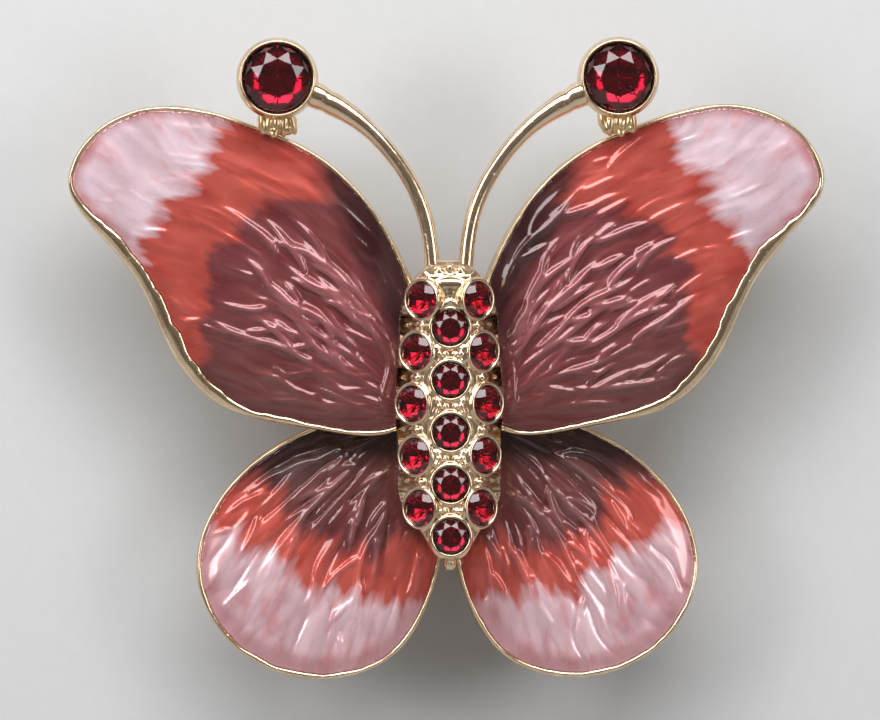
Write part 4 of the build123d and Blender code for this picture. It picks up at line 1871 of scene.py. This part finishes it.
def open_curve(corners: np.ndarray, per_span: int) -> np.ndarray:
    """Smooth open curve through corners, by natural cubic spans.

    Args:
        corners: points that the curve passes through.
        per_span: samples from each corner to the next.

    Returns:
        The curve's points.
    """
    step = np.linalg.norm(np.diff(corners, axis=0), axis=1)
    count = len(corners)
    matrix = np.eye(count)
    right = np.zeros_like(corners)
    slope = np.diff(corners, axis=0) / step[:, None]
    for i in range(1, count - 1):
        matrix[i, i - 1 : i + 2] = (step[i - 1], 2 * (step[i - 1] + step[i]), step[i])
        right[i] = 6 * (slope[i] - slope[i - 1])
    bend = np.linalg.solve(matrix, right)
    found = []
    for i, h in enumerate(step):
        for t in np.arange(per_span) / per_span:
            a, b = 1 - t, t
            lift = ((a**3 - a) * bend[i] + (b**3 - b) * bend[i + 1]) * h**2 / 6
            found.append(a * corners[i] + b * corners[i + 1] + lift)
    found.append(corners[-1])
    return np.array(found)


def tube(line: np.ndarray, radius: np.ndarray, section: int) -> tuple[np.ndarray, Faces]:
    """Closed tube along a line.

    Args:
        line: points of the middle line.
        radius: radius at each point.
        section: faces round the tube.

    Returns:
        Points and faces.
    """
    points, faces = [], []
    tangent = np.gradient(line, axis=0)
    tangent /= np.linalg.norm(tangent, axis=1)[:, None]
    across = np.cross(tangent, (0, 0, 1.0))
    across /= np.linalg.norm(across, axis=1)[:, None]
    up = np.cross(across, tangent)
    for at, r, a, u in zip(line, radius, across, up):
        for k in range(section):
            angle = 2 * math.pi * k / section
            points.append(at + r * (math.cos(angle) * a + math.sin(angle) * u))
    for i in range(len(line) - 1):
        for k in range(section):
            n = (k + 1) % section
            faces.append((i * section + k, i * section + n, (i + 1) * section + n, (i + 1) * section + k))
    last = (len(line) - 1) * section
    faces.append(tuple(reversed(range(section))))
    faces.append(tuple(last + k for k in range(section)))
    return np.array(points), faces


@dataclass
class Findings:
    """Hinge, pin and catch on the back: the CAD shapes with softened edges."""

    bevel: float = 0.07
    bevel_steps: int = 3
    flat_angle: float = 2.0
    edge_angle: float = 40.0

    def softened(self, node: str, finish: MetalFinish, slot: str) -> None:
        """Copy a CAD node, round its edges and let the copy stand for it.

        Args:
            node: the CAD node's name.
            finish: its finish.
            slot: the record's slot.
        """
        source = frame["nodes"][node]
        shape = bmesh.new()
        shape.from_mesh(source.data)
        bmesh.ops.remove_doubles(shape, verts=shape.verts, dist=0.001 * MM)
        bmesh.ops.dissolve_limit(
            shape, angle_limit=math.radians(self.flat_angle), verts=shape.verts, edges=shape.edges
        )
        piece = from_bmesh(f"{node}_finished", shape)
        rounding = piece.modifiers.new("rounding", "BEVEL")
        rounding.width = self.bevel * MM
        rounding.segments = self.bevel_steps
        rounding.limit_method = "ANGLE"
        rounding.angle_limit = math.radians(self.edge_angle)
        apply_modifiers(piece)
        settle(piece, finish, slot, source["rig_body"], node)

    def build(self) -> None:
        """Make and dress each finding."""
        self.softened("hinge_bracket", GOLD_CAST, "gold_plate")
        self.softened("hinge_rivet", GOLD_WIRE, "pin_metal")
        self.softened("pin_stem", PIN_METAL, "pin_metal")
        self.softened("catch_housing", GOLD_CAST, "gold_plate")
        self.softened("catch_roller", GOLD_WIRE, "gold_plate")


# ---------------------------------------------------------------------------------------------
# Studio
# ---------------------------------------------------------------------------------------------


@dataclass
class Studio:
    """Pale card behind the brooch, a pale floor, soft lights and the camera."""

    distance: float = 0.4
    yaw: float = -2.3
    pitch: float = 2.0
    roll: float = -0.2
    view_width: float = 0.0632
    centre: Place = (-0.0006, -0.005, -0.0013)
    card_half: float = 0.6
    card_y: float = 0.0034
    floor_half: float = 1.5
    floor_z: float = -0.16
    floor_glow: float = 0.34
    surroundings: float = 0.2
    daylight: Color = (0.97, 0.985, 1.0)

    def card(self) -> None:
        """Upright card that shows only its face."""
        size, y = self.card_half, self.card_y
        points = np.array([(-size, y, -size), (size, y, -size), (size, y, size), (-size, y, size)])
        card = make_object("card", points, [(0, 1, 2, 3)])
        material, t, shader = start_material("card_paper")
        grain = t.noise(t.place(), scale=900.0, detail=5.0, roughness=0.6)
        t.feed(shader.inputs["Base Color"], t.mix(grain, (0.535, 0.535, 0.535, 1), (0.575, 0.575, 0.575, 1)))
        shader.inputs["Roughness"].default_value = 0.9
        clear = t.add("ShaderNodeBsdfTransparent")
        light = t.add("ShaderNodeLightPath")
        back = t.add("ShaderNodeNewGeometry").outputs["Backfacing"]
        hidden = t.math("MULTIPLY", back, light.outputs["Is Camera Ray"])
        share = t.math("MAXIMUM", hidden, t.math("MULTIPLY", back, light.outputs["Is Shadow Ray"]))
        mixed = t.add("ShaderNodeMixShader", {0: share, 1: shader.outputs[0], 2: clear.outputs[0]})
        output = [n for n in material.node_tree.nodes if n.type == "OUTPUT_MATERIAL"][0]
        t.feed(output.inputs["Surface"], mixed.outputs[0])
        card.data.materials.append(material)
        card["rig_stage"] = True

    def floor(self) -> None:
        """Plain pale floor well below the brooch."""
        size, z = self.floor_half, self.floor_z
        points = np.array([(-size, -size, z), (size, -size, z), (size, size, z), (-size, size, z)])
        floor = make_object("floor", points, [(0, 1, 2, 3)])
        material, t, shader = start_material("floor_paint")
        grain = t.noise(t.place(), scale=300.0, detail=4.0, roughness=0.6)
        t.feed(shader.inputs["Base Color"], t.mix(grain, (0.42, 0.42, 0.42, 1), (0.46, 0.46, 0.455, 1)))
        shader.inputs["Roughness"].default_value = 0.85
        shader.inputs["Emission Color"].default_value = (0.9, 0.9, 0.9, 1)
        seen = t.add("ShaderNodeLightPath").outputs["Is Camera Ray"]
        t.feed(shader.inputs["Emission Strength"], t.math("MULTIPLY", seen, self.floor_glow))
        floor.data.materials.append(material)
        floor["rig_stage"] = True

    def lamp(
        self, name: str, at: Sequence[float], size: Point, power: float, color: Sequence[float] = (1, 1, 1)
    ) -> None:
        """Soft rectangular light that looks at the brooch.

        Args:
            name: the light's name.
            at: its place, in metres.
            size: width and height, in metres.
            power: in watts.
            color: its colour.
        """
        data = bpy.data.lights.new(name, "AREA")
        data.shape = "RECTANGLE"
        data.size, data.size_y = size
        data.energy = power
        data.color = color
        lamp = bpy.data.objects.new(name, data)
        bpy.context.scene.collection.objects.link(lamp)
        lamp.location = at
        lamp.rotation_euler = (Vector(self.centre) - Vector(at)).to_track_quat("-Z", "Y").to_euler()

    def world(self) -> None:
        """Even, dim surroundings that look pale to the camera."""
        world = bpy.data.worlds.new("studio")
        bpy.context.scene.world = world
        world.use_nodes = True
        t = Tree(world.node_tree)
        dim = world.node_tree.nodes["Background"]
        dim.inputs[0].default_value = (0.82, 0.75, 0.70, 1)
        dim.inputs[1].default_value = self.surroundings
        pale = t.add("ShaderNodeBackground", {"Color": (0.62, 0.62, 0.62, 1)})
        seen = t.add("ShaderNodeLightPath").outputs["Is Camera Ray"]
        mixed = t.add("ShaderNodeMixShader", {0: seen, 1: dim.outputs[0], 2: pale.outputs[0]})
        t.feed(world.node_tree.nodes["World Output"].inputs[0], mixed.outputs[0])
        bpy.context.scene.view_settings.view_transform = "Standard"

    def camera(self) -> None:
        """Camera nearly square on to the face, a little from above and from the left."""
        data = bpy.data.cameras.new("camera")
        data.sensor_width = 36.0
        data.lens = data.sensor_width * self.distance / self.view_width
        data.clip_start = 0.01
        camera = bpy.data.objects.new("camera", data)
        bpy.context.scene.collection.objects.link(camera)
        yaw, pitch = math.radians(self.yaw), math.radians(self.pitch)
        away = Vector((math.sin(yaw) * math.cos(pitch), -math.cos(yaw) * math.cos(pitch), math.sin(pitch)))
        target = Vector(self.centre)
        camera.location = target + away * self.distance
        facing = (-away).to_track_quat("-Z", "Y").to_matrix().to_4x4()
        spin = Matrix.Rotation(math.radians(self.roll), 4, "Z")
        camera.matrix_world = Matrix.Translation(camera.location) @ facing @ spin
        bpy.context.scene.camera = camera

    def build(self) -> None:
        """Set the stage, the lights and the camera."""
        self.card()
        self.floor()
        self.world()
        self.lamp("key_light", (-0.01, -0.16, 0.215), (0.34, 0.12), 0.98, self.daylight)
        self.lamp("left_light", (-0.30, -0.24, 0.12), (0.12, 0.26), 0.72, self.daylight)
        self.lamp("right_light", (0.34, -0.28, 0.06), (0.12, 0.26), 0.55, self.daylight)
        self.lamp("back_light", (0.15, 0.40, 0.30), (0.4, 0.3), 3.0)
        self.camera()


def main() -> None:
    """Build every piece of the brooch and the studio round it."""
    logging.basicConfig(level=logging.INFO, format="%(name)s: %(message)s")
    Studio().build()
    for side in Side:
        upper_wing(side).build()
        lower_wing(side).build()
        Antenna(side).build()
    BodyCasting().build()
    Findings().build()
    boxes = {"cad": CAD_BOX, "visual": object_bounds()}
    {name: [list(corner) for corner in box] for name, box in boxes.items()}


if __name__ == "__main__":
    main()
